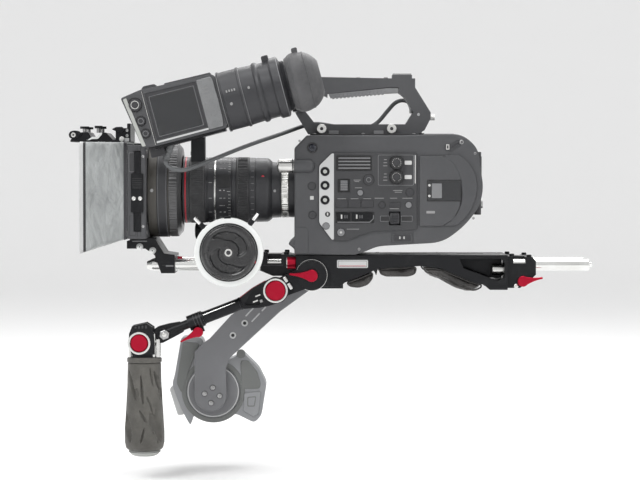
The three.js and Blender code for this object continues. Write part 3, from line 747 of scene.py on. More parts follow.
def make_base():
    """The cheeks, top plate, pad plate and tripod foot."""
    near = box_of("left_cheek")[2]
    cheek = Piece("cheek_near", "anodised_black", "left_cheek").add("black", cad("left_cheek", 0.8))
    label = rect(11.5, 51.7, 27.3, 37.7)
    cheek.add("pale", prism(label, near - 0.5, near + 0.3, ease=1.6, edge=0.2))
    cheek.plate("red_paint", (14.5, 48.7, 29.6, 30.3), near - 0.65, near, edge=0.05)
    cheek.add("dark", rim(eased(rect(13, 50.2, 28.6, 36.4), 1, True), eased(rect(13.4, 49.8, 29, 36),
        0.8, True), near - 0.6, near, edge=0.05))
    cheek.done()
    Piece("cheek_far", "anodised_black", "right_cheek").add("black", cad("right_cheek", 0.8)).done()

    x0, x1, _, _, z0, z1 = box_of("top_plate")
    top = Piece("base_plate", "anodised_black", "top_plate").add("black", cad("top_plate", 0.6))
    for x in (30, 58, 105, 123, 182, 198):
        top.add("screw", bolt("z", (x, 0), z0 + 0.8, 3.1, 2.6))
    for x in (x0 + 8, 66, 146, x1 - 8):
        for y in (-36, 36):
            top.add("screw", bolt("z", (x, y), z1 - 0.1, 2.4, 0.7))
    top.done()

    carrier = Piece("pad_plate", "anodised_black", "pad_carrier").add("black", cad("pad_carrier", 0.5))
    pocket = [(172, 38.4), (176.6, 28), (221, 11.6), (228.4, 14.6), (228.4, 33.6), (223.6, 38.4)]
    carrier.add("black", prism(pocket, -20, 20, ease=2))
    ribbed = [(214, 0), (214, 6.6)] + [(214.5 + 0.85 * i, 7.5 - 0.55 * (i % 2)) for i in range(20)]
    for y in (ROD_Y, -ROD_Y):
        carrier.add("silver", lathe("x", ribbed + [(231.5, 7), (231.5, 0)], (y, 24.5), 40))
    carrier.done()

    plate = Piece("tripod_foot", "anodised_black", "tripod_plate").add("black", cad("tripod_plate",
        0.9))
    plate.add("silver", rim(circle(0, 22, 6, 40), circle(0, 22, 4.75, 40), 0, 0.9, "z", 0.15))
    plate.done()


def make_rod_clamps():
    """Both rod clamps and the four rods."""
    for node, name, bumps, collar in (("front_rod_clamp", "clamp_front", (-82, -54.5), True),
            ("rear_rod_clamp", "clamp_rear", (239.5, 262), False)):
        x0, x1, y0, y1, z0, z1 = box_of(node)
        clamp = Piece(name, "anodised_black", node).add("black", cad(node, 0.9))
        for x in bumps:
            for y in (y0 + 6, y1 - 6):
                top = z1 - (0.3 if x < 250 else 1.6)
                clamp.add("black", bolt("z", (x, y), top, 3.3, 3.6))
        if collar:
            for side in (-1, 1):
                knob = lathe("x", [(x1 - 11.3, 0), (x1 - 11.3, 8.3), (x1 - 0.3, 8.3), (x1 - 0.3, 0)],
                    (side * 39.5, 33.4), 88, ribs(44, 0.4, x1 - 9.6, x1 - 1.6), 0.7)
                clamp.add("red", knob)
                clamp.add("silver", disc("x", (side * 39.5, 33.4), x1 - 12.2, x1 - 11.2, 7.7, 64))
            clamp.plate("dark", (x0 + 4, x0 + 30, ROD_Z - 0.4, ROD_Z + 0.4), y0 - 0.15, y0 + 1,
                edge=0.1)
        else:
            for x, z in ((x0 + 11, 3.2), (x0 + 20, 6.2)):
                clamp.add("silver", lathe("y", [(y0 - 2.6, 0), (y0 - 2.6, 2.4), (y0 - 1.8, 3),
                    (y0 + 0.5, 3), (y0 + 0.5, 0)], (x, z), 32))
        clamp.done()
    for node in ("front_rod_left", "front_rod_right", "rear_rod_left", "rear_rod_right"):
        x0, x1, y0, y1, _, _ = box_of(node)
        if node.startswith("front"):
            profile = [(x0, 0), (x0, 4.6), (x0 + 7, ROD_R), (x1 - 0.8, ROD_R), (x1, 6.7), (x1, 0)]
        else:
            stop = x1 - 4.5
            profile = [(x0, 0), (x0, 6.7), (x0 + 0.8, ROD_R), (stop - 0.8, ROD_R), (stop, 6.6),
                (stop + 0.1, 3.4), (x1 - 0.6, 3), (x1, 2.4), (x1, 0)]
        Piece("steel_" + node, "polished_steel", node).add("rod", lathe("x", profile, ((y0 + y1) / 2,
            ROD_Z), 72, ease=0.3)).done()


def make_cam_lever(name, node, head, reach, angle, rise=1.2):
    """A red cam lever about its joint's own pivot."""
    _, _, y0, y1, _, _ = box_of(node)
    pivot = PIVOT[BODY_OF[node]] * 1000
    outline = shifted(teardrop(head, reach, 1.3, angle), pivot.x, pivot.z)
    lever = Piece(name, "anodised_red", node)
    lever.add("red", prism(outline, y0, y1 - 0.8, edge=min(rise, 1.5), segments=3))
    lever.add("screw", disc("y", (pivot.x, pivot.z), y1 - 1.2, y1, head * 0.55, 32))
    lever.done()


PAD_SWELL = 0.0032  # the most that a pad's cloth may move, so that it stays by its seams
PAD_FRAMES = 20
PAD_VOXEL = 0.0034


def make_shoulder_pad(name, outline, seed, pull):
    """A stuffed pad: an outline filled by cloth pressure, with a seam along both of its sides."""
    _, _, y0, y1, _, z1 = box_of(name)
    cx = sum(p[0] for p in outline) / len(outline)
    cz = sum(p[1] for p in outline) / len(outline)
    inner = [(cx + (x - cx) * pull, cz + (z - cz) * pull) for x, z in outline]
    steps = 14
    ring = eased(inner, 3.5, True, 3)
    n = len(ring)
    verts, faces = [], []
    for s in range(steps + 1):
        t = s / steps
        y = y0 + 1.6 + (y1 - y0 - 3.2) * t
        tuck = 0.94 + 0.06 * min(1, 6 * min(t, 1 - t))
        verts += [(cx + (x - cx) * tuck, y, cz + (z - cz) * tuck) for x, z in ring]
    for s in range(steps):
        for k in range(n):
            a, b = s * n, (s + 1) * n
            faces.append((a + k, a + (k + 1) % n, b + (k + 1) % n, b + k))
    faces += [list(range(n)), list(range(steps * n, (steps + 1) * n))]
    pad = object_of(part_of(verts, faces), name + "_leather", MM)
    scene = bpy.context.scene
    bpy.context.view_layer.objects.active = pad
    remesh = pad.modifiers.new("remesh", "REMESH")
    remesh.mode, remesh.voxel_size = "VOXEL", PAD_VOXEL
    bpy.context.view_layer.update()
    depsgraph = bpy.context.evaluated_depsgraph_get()
    mesh = bpy.data.meshes.new_from_object(pad.evaluated_get(depsgraph))
    pad.modifiers.clear()
    pad.data = mesh
    rest = [v.co.copy() for v in mesh.vertices]
    cloth = pad.modifiers.new("cloth", "CLOTH")
    settings = cloth.settings
    settings.use_pressure = True
    settings.uniform_pressure_force = 4
    settings.tension_stiffness = settings.compression_stiffness = 12
    settings.bending_stiffness = 0.4
    settings.effector_weights.gravity = 0
    cloth.point_cache.frame_start, cloth.point_cache.frame_end = 1, PAD_FRAMES
    for frame_number in range(1, PAD_FRAMES + 1):
        scene.frame_set(frame_number)
    depsgraph = bpy.context.evaluated_depsgraph_get()
    swollen = bpy.data.meshes.new_from_object(pad.evaluated_get(depsgraph))
    pad.modifiers.clear()
    pad.data = swollen
    scene.frame_set(1)
    for vertex, start in zip(pad.data.vertices, rest):
        move = vertex.co - start
        if move.length > PAD_SWELL:
            vertex.co = start + move.normalized() * PAD_SWELL
    top = max(v.co.z for v in pad.data.vertices)
    for vertex in pad.data.vertices:
        co = vertex.co
        fold = noise.noise(Vector((co.x * 55 + seed, co.y * 30, co.z * 70)))
        crease = abs(noise.noise(Vector((co.x * 130 + seed, co.y * 60, co.z * 130))))
        normal = vertex.normal
        vertex.co = co + normal * (0.0006 * fold - 0.0007 * (1 - min(1, crease * 6)))
    for vertex in pad.data.vertices:
        vertex.co.y = max(y0 * MM, min(y1 * MM, vertex.co.y))
        vertex.co.z = min(vertex.co.z, max(top, z1 * MM))
    smooth = pad.modifiers.new("smooth", "SUBSURF")
    smooth.levels = smooth.render_levels = 1
    depsgraph = bpy.context.evaluated_depsgraph_get()
    final = bpy.data.meshes.new_from_object(pad.evaluated_get(depsgraph))
    pad.modifiers.clear()
    pad.data = final
    final.materials.clear()
    final.materials.append(MAT["leather"])
    final.shade_smooth()
    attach(pad, BODY_OF[name])
    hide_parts(name)
    welt = Piece(name + "_seams", "pad_leather", body=BODY_OF[name])
    for y in (y0 + 3.2, y1 - 3.2):
        fit = pull * 0.955
        loop = [(cx + (x - cx) * fit, y, cz + (z - cz) * fit) for x, z in eased(outline, 4, True, 4)]
        welt.add("leather", tube(loop, 1.1, 8, closed=True))
    welt.done(60)


make_base()
make_rod_clamps()
make_cam_lever("rear_cam_lever", "rear_clamp_lever", 7, 26, 10)
make_shoulder_pad("shoulder_pad_front", [(23, 7.4), (27, 3), (39, 1.2), (51.8, 5.2), (58.6, 14), (58.6,
    22.2), (52, 18.4), (40, 13.4)], 3.1, 0.98)
make_shoulder_pad("shoulder_pad_middle", [(65.4, 25.6), (66.4, 19.5), (74, 16.2), (106, 16.2), (115,
    19.5), (116.5, 28.6), (100, 27.4), (80, 26.4)], 8.4, 0.975)
make_shoulder_pad("shoulder_pad_rear", [(121.5, 28.6), (124, 22.6), (146, 15), (166, 3.8), (184, -2.2),
    (193, -3), (201, 1.2), (201.4, 4.6), (183.6, 9.6), (145, 26.4)], 15.7, 0.985)

# ------------------------------------------------------------------ handgrip arm

ELBOW = PIVOT["arm_tube_outer"] * 1000
WRIST = PIVOT["handgrip"] * 1000
ARM_Y = -73
ARM_TURN = turned_to((ELBOW.x, ARM_Y, ELBOW.z), (WRIST.x - ELBOW.x, 0, WRIST.z - ELBOW.z))
REACH = math.hypot(WRIST.x - ELBOW.x, WRIST.z - ELBOW.z)


def red_button(name, node, radius):
    """A spun red push button with a faint dish and turning rings."""
    x0, x1, y0, y1, z0, z1 = box_of(node)
    centre = ((x0 + x1) / 2, (z0 + z1) / 2)
    face = [(y1, 0), (y1, radius), (y0 + 1.2, radius), (y0 + 0.3, radius - 0.9)]
    face += [(y0 + 0.06 * (i % 2) - 0.25 * math.cos(i / 14 * 1.5),
        radius - 1.3 - (radius - 1.3) * i / 14) for i in range(14)]
    button = lathe("y", face + [(y0 - 0.05, 0)], centre, 72)
    Piece(name, "anodised_red", node).add("red", button).done(28)


def make_arm():
    """The rosette, link, elbow and both tubes."""
    x0, x1, y0, y1, z0, z1 = box_of("arm_rosette")
    centre = ((x0 + x1) / 2, (z0 + z1) / 2)
    radius = (x1 - x0) / 2
    rosette = Piece("arm_rosette_disc", "anodised_black", "arm_rosette")
    rosette.add("black", lathe("y", [(y0, 0), (y0, radius - 1.2), (y0 + 1.1, radius - 0.2), (y1,
        radius - 0.2), (y1, 0)], centre, 96))
    rosette.add("silver", ring_of("y", centre, y0 + 0.8, y0 + 2.6, radius - 1.5, radius, 96))
    teeth = [(y0 - 0.3, radius - 7), (y0 - 0.3, radius - 3), (y0 + 0.5, radius - 3), (y0 + 0.5,
        radius - 7), (y0 - 0.3, radius - 7)]
    rosette.add("screw", lathe("y", teeth, centre, 120, ribs(60, 0.9)))
    rosette.done()

    link = Piece("arm_link_plate", "anodised_black", "arm_link").add("black", cad("arm_link", 1.3,
        segments=3))
    link.done()
    make_cam_lever("rosette_cam_lever", "rosette_lever", 8, 29, 176, 1.5)

    outer = Piece("arm_tube_shell", "anodised_black", "arm_tube_outer")
    near = -11
    shell = cad("arm_tube_outer", 0.9, 28)
    pocket = prism([(18.5, -8.5), (25, -10.5), (33, -7), (43, 1.8), (42, 4), (27, 10), (19.5, 8)],
        near - 1, near + 5, ease=2, edge=0)
    bmesh.ops.transform(pocket, matrix=ARM_TURN, verts=pocket.verts)
    outer.add("black", carve(shell, pocket))
    outer.add("silver", ring_of("y", (0, 0), near - 1.4, near + 1, 13.35, 15.8, 72, 0.6), turn=ARM_TURN)
    for u, w in ((29, 3.6), (23.5, -2.2)):
        outer.add("silver", lathe("x", [(u - 3.4, 0), (u - 3.4, 1.3), (u + 3.4, 1.3), (u + 3.4, 0)],
            (near + 3.4, w), 16, ribs(3, 0.2)), turn=ARM_TURN)
    outer.add("screw", prism(rect(20, 23.6, 4.2, 7.8), near + 0.6, near + 3, edge=0.3), turn=ARM_TURN)
    for a, b in ((-1, 7.6), (9, 8.4)):
        outer.add("silver", prism(rect(-20.4, -16.6, a - 7.5, a - 7.5 + b), near, near + 17, edge=0.6),
            turn=turned_to((ELBOW.x, ARM_Y, ELBOW.z), (-0.83, 0, -0.55)))
    outer.add("red_paint", tube([(8, -5.5, -16.2), (16, -5.5, -15.2), (27, -5.5, -13.4), (46, -5.5,
        -7.9)], 0.55, 8), turn=ARM_TURN)
    # A thin silver line along the tube's lower edge: a painted highlight where the edge catches the light.
    outer.add("silver", tube([(54, -9.2, -4.6), (76, -8.9, -4.3), (98, -8.3, -4)], 0.55, 8),
        turn=ARM_TURN)
    for u in (47, 98):
        outer.add("black", ring_of("x", (0, 0), u, u + 2.4, 7, 8.5, 56), turn=ARM_TURN)
    outer.add("dark", *[ring_of("x", (0, 0), u, u + 1.1, 9, 10.35, 56, 0.2) for u in (103, 107, 111)],
        turn=ARM_TURN)
    outer.done()
    red_button("elbow_push_button", "elbow_button_upper", 12.9)
    make_cam_lever("tube_cam_lever", "arm_tube_lever", 6.6, 26, 209, 1.3)

    inner = Piece("arm_tube_core", "anodised_black", "arm_tube_inner")
    inner.add("black", cad("arm_tube_inner", 0.8, 28))
    blade = [(129, -6.6), (129, 7.2), (146, 9.4), (160, 11), (165, 9), (165, -9), (158, -11), (144,
        -9.6)]
    inner.add("black", prism(blade, -4.6, 4.6, ease=1.6, edge=1.2, segments=3), turn=ARM_TURN)
    u, w = 153.7, 1.6
    inner.add("screw", lathe("y", [(-12.2, 0), (-12.2, 5.4), (-11.2, 6.6), (-6.4, 6.6), (-6.4, 0)], (u,
        w), 6), turn=ARM_TURN)
    inner.add("silver", lathe("y", [(-12.5, 0), (-12.5, 2.4), (-12, 3), (-11, 3), (-11, 0)], (u, w),
        24), turn=ARM_TURN)
    inner.add("silver", *[lathe("x", [(165, 0), (165, 2), (173, 2), (173, 0)], (-7.6, v), 20, ribs(5,
        0.2)) for v in (-6.6, 5.6)], turn=ARM_TURN)
    inner.done()


def make_wrist():
    """The wrist, its red button and the grip."""
    x0, x1, y0, y1, z0, z1 = box_of("grip_yoke")
    yoke = Piece("wrist_yoke", "anodised_black", "grip_yoke").add("black", cad("grip_yoke", 1.0))
    yoke.add("silver", ring_of("y", (WRIST.x, WRIST.z), y0 - 1.3, y0 + 0.6, 11.9, 14.6, 72, 0.5))
    low = z0 + 0.2
    for a, b, top in ((x0 - 0.6, x0 + 2.4, WRIST.z + 8), (WRIST.x + 17.4, WRIST.x + 20.4,
            WRIST.z + 12), (WRIST.x + 22, WRIST.x + 26.4, WRIST.z + 5)):
        yoke.plate("silver", (a, b, low, top), y0 + 1, y0 + 8, edge=0.5)
        yoke.plate("silver", (a, b, low, top - 4), y1 - 8, y1 - 1, edge=0.5)
    for i in range(4):
        x = WRIST.x - 5.5 + 4.4 * i
        yoke.plate("dark", (x, x + 2.2, WRIST.z + 19, WRIST.z + 21.4 + 0.5 * i), y0 - 0.5, y0 + 2,
            edge=0.3)
    yoke.done()
    red_button("wrist_push_button", "elbow_button_lower", 11.5)

    x0, x1, y0, y1, z0, z1 = box_of("grip_core")
    centre = ((x0 + x1) / 2, (y0 + y1) / 2)
    core = Piece("grip_caps", "grip_rubber", "grip_core")
    collar = z1 - 6.4
    core.add("grip", lathe("z", [(collar, 0), (collar, 21.6), (collar + 0.8, 22.3), (z1 - 1.4, 22.3),
        (z1, 20.4), (z1, 0)], centre, 96))
    core.add("dark", disc("z", centre, collar - 1.2, collar + 0.4, 19.6, 64))
    cap = z0 + 8.4
    core.add("cap", lathe("z", [(z0, 0), (z0, 9), (z0 + 0.6, 13.4), (z0 + 2.4, 17.2), (z0 + 5, 19.6),
        (cap - 1, 20.4), (cap - 0.2, 19.6), (cap, 19.4), (cap, 0)], centre, 96))
    core.add("dark", lathe("z", [(cap - 2.4, 19), (cap - 2.4, 20.6), (cap - 1.9, 20.6), (cap - 1.9,
        19), (cap - 2.4, 19)], centre, 64))
    core.done(40)

    # Leaf-shaped grooves: offset across, middle height, half length, half width, lean, depth.
    leaves = [(-14.5, -122, 19, 2.2, 4.5, 3.2), (-1.6, -127.5, 19, 1.9, 1.6, 2.6), (-8.5, -133, 8, 4.2,
        0, 2.2), (10.5, -111, 13, 1.3, 2.2, 1.7), (7.6, -143, 8, 1.2, 3.4, 1.6), (11.6, -155, 14, 1.2,
        3.6, 1.6), (-0.6, -161, 8, 1.8, 4.4, 2.0), (11.2, -174, 11, 1.4, 2.2, 1.7), (-0.8, -186, 10,
        1.5, -2.2, 1.9), (18.4, -187, 10, 1.3, 0.2, 1.6), (19.4, -124, 18, 1.0, 0.8, 1.2), (17, -162,
        12, 1.2, 1.4, 1.4), (-20.2, -176, 19.5, 4.2, 3.2, 4.2)]
    x0, x1, y0, y1, z0, z1 = box_of("hand_grip")
    profile = [(z0, 21.4), (z0 + 0.8, 22.6), (z0 + 3, 24.2), (-196, 25.6), (-178, 25.4), (-150, 23.6),
        (-120, 21.9), (z1 - 1.2, 21.4), (z1, 20.2)]
    rows, sides = 150, 190

    def radius_at(z):
        for (za, ra), (zb, rb) in zip(profile, profile[1:]):
            if za <= z <= zb:
                return ra + (rb - ra) * (z - za) / (zb - za)
        return profile[-1][1]

    verts, faces = [], []
    for i in range(rows + 1):
        z = z0 + (z1 - z0) * i / rows
        base = radius_at(z)
        for k in range(sides):
            angle = 2 * math.pi * k / sides
            cut = 0
            for side in range(3):
                local = angle + side * 2 * math.pi / 3 + (0.35 if side else 0)
                facing = -math.sin(local)
                if facing < 0.15:
                    continue
                x = base * math.cos(local)
                for ox, oz, half, width, lean, depth in leaves:
                    t = (z - oz) / half
                    if abs(t) < 1:
                        wide = width * (1 - t * t) ** 0.8 + 0.05
                        off = (x - ox - lean * -t) / wide
                        if abs(off) < 1:
                            cut = max(cut, 1.5 * depth * (1 - off * off) ** 0.6 * (1 - t * t) ** 0.4)
            swell = 0.35 * noise.noise(Vector((math.cos(angle) * 2, math.sin(angle) * 2, z * 0.05)))
            r = base + swell - cut
            verts.append((centre[0] + r * math.cos(angle), centre[1] + r * math.sin(angle), z))
    for i in range(rows):
        for k in range(sides):
            a, b = i * sides, (i + 1) * sides
            faces.append((a + k, a + (k + 1) % sides, b + (k + 1) % sides, b + k))
    faces += [list(range(sides)), list(range(rows * sides, (rows + 1) * sides))]
    Piece("grip_sleeve", "grip_rubber", "hand_grip").add("grip", part_of(verts, faces)).done(60)


make_arm()
make_wrist()

# ------------------------------------------------------------------ follow focus


def make_follow_focus():
    """The bridge, gearbox, drive gear, hand wheel and marking ring."""
    x0, x1, y0, y1, z0, z1 = box_of("ff_bridge")
    bridge = Piece("focus_bridge", "anodised_black", "ff_bridge").add("black", cad("ff_bridge", 1.0))
    for x in (x0 + 6, x1 - 6):
        for y in (-34, 34):
            bridge.add("screw", bolt("z", (x, y), z1 - 0.2, 3, 2.4))
    bridge.done()
    box = Piece("focus_gearbox", "anodised_black", "ff_gearbox").add("black", cad("ff_gearbox", 1.0))
    x0, x1, y0, y1, z0, z1 = box_of("ff_gearbox")
    for x in (x1 - 33, x1 - 5):
        for z in (38, 62):
            box.add("screw", bolt("y", (x, z), -44.4, 1.9, 0.9))
    box.add("red_paint", prism([(-96.5, 35.5), (-91.5, 36.5), (-91.5, 43.5), (-96, 42.5)], -103.2, -98,
        edge=0.4))
    box.plate("black", (-109, -92, 37, 42), -98.5, -88, edge=0.6)
    box.done()

    x0, x1, y0, y1, z0, z1 = box_of("ff_drive_gear")
    centre = ((y0 + y1) / 2, (z0 + z1) / 2)
    radius = (z1 - z0) / 2

    def teeth(angle, along, r):
        wave = math.cos(26 * angle)
        return r - (0.9 - 0.9 * max(-1, min(1, 2 * wave))) if r > 9 and along < x0 + 12 else r

    gear = Piece("drive_gear_wheel", "anodised_black", "ff_drive_gear")
    gear.add("black", lathe("x", [(x0, 0), (x0, 6), (x0 + 0.8, 9.4), (x0 + 1.2, radius), (x0 + 10.8,
        radius), (x0 + 11.3, 9.4), (x0 + 12.4, 8.6), (x0 + 12.5, 3), (x1, 3), (x1, 0)], centre, 208,
        teeth))
    gear.add("silver", disc("x", centre, x0, x0 + 1, 3, 24))
    gear.done()

    x0, x1, y0, y1, z0, z1 = box_of("ff_hand_wheel")
    pivot = PIVOT["focus_wheel"] * 1000
    radius = (x1 - x0) / 2
    rows, sides = 44, 168
    verts, faces = [(pivot.x, y0 + 1.2, pivot.z)], []

    def face_height(r, angle):
        """How far the wheel's face stands back from its highest plane."""
        share = r / radius
        dish = 1.6 * (1 - min(1, max(0, (share - 0.78) / 0.06))) if share < 0.9 else 0
        edge = 5 * max(0, (share - 0.9) / 0.1) ** 1.6
        bowls = 0
        for turn in (0, math.pi):
            swing = (angle - turn - 0.9 * share * 2) % (2 * math.pi) - math.pi
            along = max(0, 1 - (swing / 1.15) ** 2)
            across = max(0, 1 - ((share - 0.56 - 0.05 * swing) / 0.19) ** 2)
            bowls = max(bowls, 3.4 * min(1, 2.2 * across) * min(1, 3 * along))
        hub = -1.2 * max(0, 1 - (share / 0.2) ** 4)
        return dish + edge + bowls + hub

    for i in range(1, rows + 1):
        r = radius * i / rows
        for k in range(sides):
            angle = 2 * math.pi * k / sides
            verts.append((pivot.x + r * math.cos(angle), y0 + 1.2 + face_height(r, angle) * 0.8,
                pivot.z + r * math.sin(angle)))
    for k in range(sides):
        faces.append((0, 1 + k, 1 + (k + 1) % sides))
        for i in range(rows - 1):
            a, b = 1 + i * sides, 1 + (i + 1) * sides
            faces.append((a + k, a + (k + 1) % sides, b + (k + 1) % sides, b + k))
    start = 1 + (rows - 1) * sides
    for depth, r in ((y0 + 8.4, radius), (y0 + 8.4, 12), (y1, 12)):
        base = len(verts)
        verts += [(pivot.x + r * math.cos(2 * math.pi * k / sides), depth,
            pivot.z + r * math.sin(2 * math.pi * k / sides)) for k in range(sides)]
        faces += [(start + k, start + (k + 1) % sides, base + (k + 1) % sides,
            base + k) for k in range(sides)]
        start = base
    faces.append(list(range(start, start + sides)))
    wheel = Piece("focus_hand_wheel", "anodised_black", "ff_hand_wheel").add("wheel", part_of(verts,
        faces))
    centre = (pivot.x, pivot.z)
    wheel.add("silver", ring_of("y", centre, y0 - 0.2, y0 + 2, 2.7, 4.9, 48, 0.6))
    wheel.add("dark", disc("y", centre, y0 + 1.2, y0 + 2.4, 2.8, 24))
    # A thin grey metal ring near the rim: a painted highlight on the wheel's face.
    wheel.add("painted_highlight_metal", ring_of("y", centre, y0 + 2.2, y0 + 2.9, radius * 0.895, radius * 0.915, 120,
        0.2))
    wheel.done(40)

    ring = Piece("focus_marking_ring", "ring_white", "ff_marking_ring")
    outer = 44.3
    ring.add("white", lathe("y", [(-112.3, 12.3), (-112.3, outer - 1.2), (-111.4, outer - 0.3),
        (-108.6, outer), (-106, outer), (-105, outer - 0.8), (-105, 12.3), (-112.3, 12.3)], centre,
        288, lambda a, y, r: r - (0.45 if math.cos(144 * a) < 0 and r > 43 and y > -111 else 0)))
    ring.add("black", ring_of("y", centre, -113.1, -112.2, 34.9, 37.2, 120, 0.4))
    ring.add("red_paint", prism(rect(34.6, 36.6, -1.6, 1.6), -113.3, -112.8, edge=0.1),
        turn=turned_to((pivot.x, 0, pivot.z), (math.cos(0.35), 0, -math.sin(0.35))))
    for angle in (135, 53):
        a = math.radians(angle)
        place = turned_to((pivot.x, -109, pivot.z), (math.cos(a), 0, math.sin(a)))
        ring.add("black", lathe("x", [(outer - 1, 0), (outer - 1, 3.3), (outer + 6.6, 3.3),
            (outer + 7.2, 2.7), (outer + 7.2, 0)], (0, 0), 48, ribs(14, 0.35), 0.3), turn=place)
        ring.add("chrome", lathe("x", [(outer + 7, 0), (outer + 7, 2.3), (outer + 17, 2.0),
            (outer + 17.6, 1.5), (outer + 18, 0)], (0, 0), 36, ease=0.3), turn=place)
    a = math.radians(92)
    ring.add("black", prism(rect(outer - 1.5, outer + 1.6, -4.4, 4.4), -112.6, -104, edge=0.7),
        turn=turned_to((pivot.x, 0, pivot.z), (math.cos(a), 0, math.sin(a))))
    ring.done(40)


make_follow_focus()

# ------------------------------------------------------------------ camera


def knob(axis, centre, low, high, radius, teeth=0, depth=0.35, sides=64, ease=0.6):
    """A round knob, knurled if teeth is given."""
    inset = (high - low) * 0.16
    shape = ribs(teeth, depth, low + inset, high - inset) if teeth else None
    return lathe(axis, [(low, 0), (low, radius), (low + inset * 1.01, radius), (high - inset * 1.01,
        radius), (high, radius), (high, 0)], centre, max(sides, teeth * 4), shape, ease)


def panel_button(piece, x, z, radius, face, material="dark", dot=None):
    """A round key in a shallow ring on the near side."""
    piece.add("edge_dark", ring_of("y", (x, z), face - 0.35, face + 0.2, radius + 0.15, radius + 1.0,
        40, 0.15))
    piece.add(material, lathe("y", [(face + 0.2, 0), (face + 0.2, radius), (face - 0.8, radius),
        (face - 1.15, radius - 0.5), (face - 0.95, radius * 0.5), (face - 0.9, 0)], (x, z), 40))
    if dot:
        piece.add(dot, lathe("y", [(face, 0), (face, radius * 0.36), (face - 1.2, radius * 0.36),
            (face - 1.5, radius * 0.2), (face - 1.5, 0)], (x, z), 24))


CRESCENT = [(148, 173.5), (160.6, 160.3), (170, 144.7), (173.6, 127.4), (172.9, 111.8), (166.9, 97.7),
    (159, 88.3), (148, 82.0), (167, 82.6), (176, 91.4), (185, 103.9), (191.2, 119.6), (192.4, 135.3),
    (189.8, 150.9), (182, 163.5), (170, 174.4)]


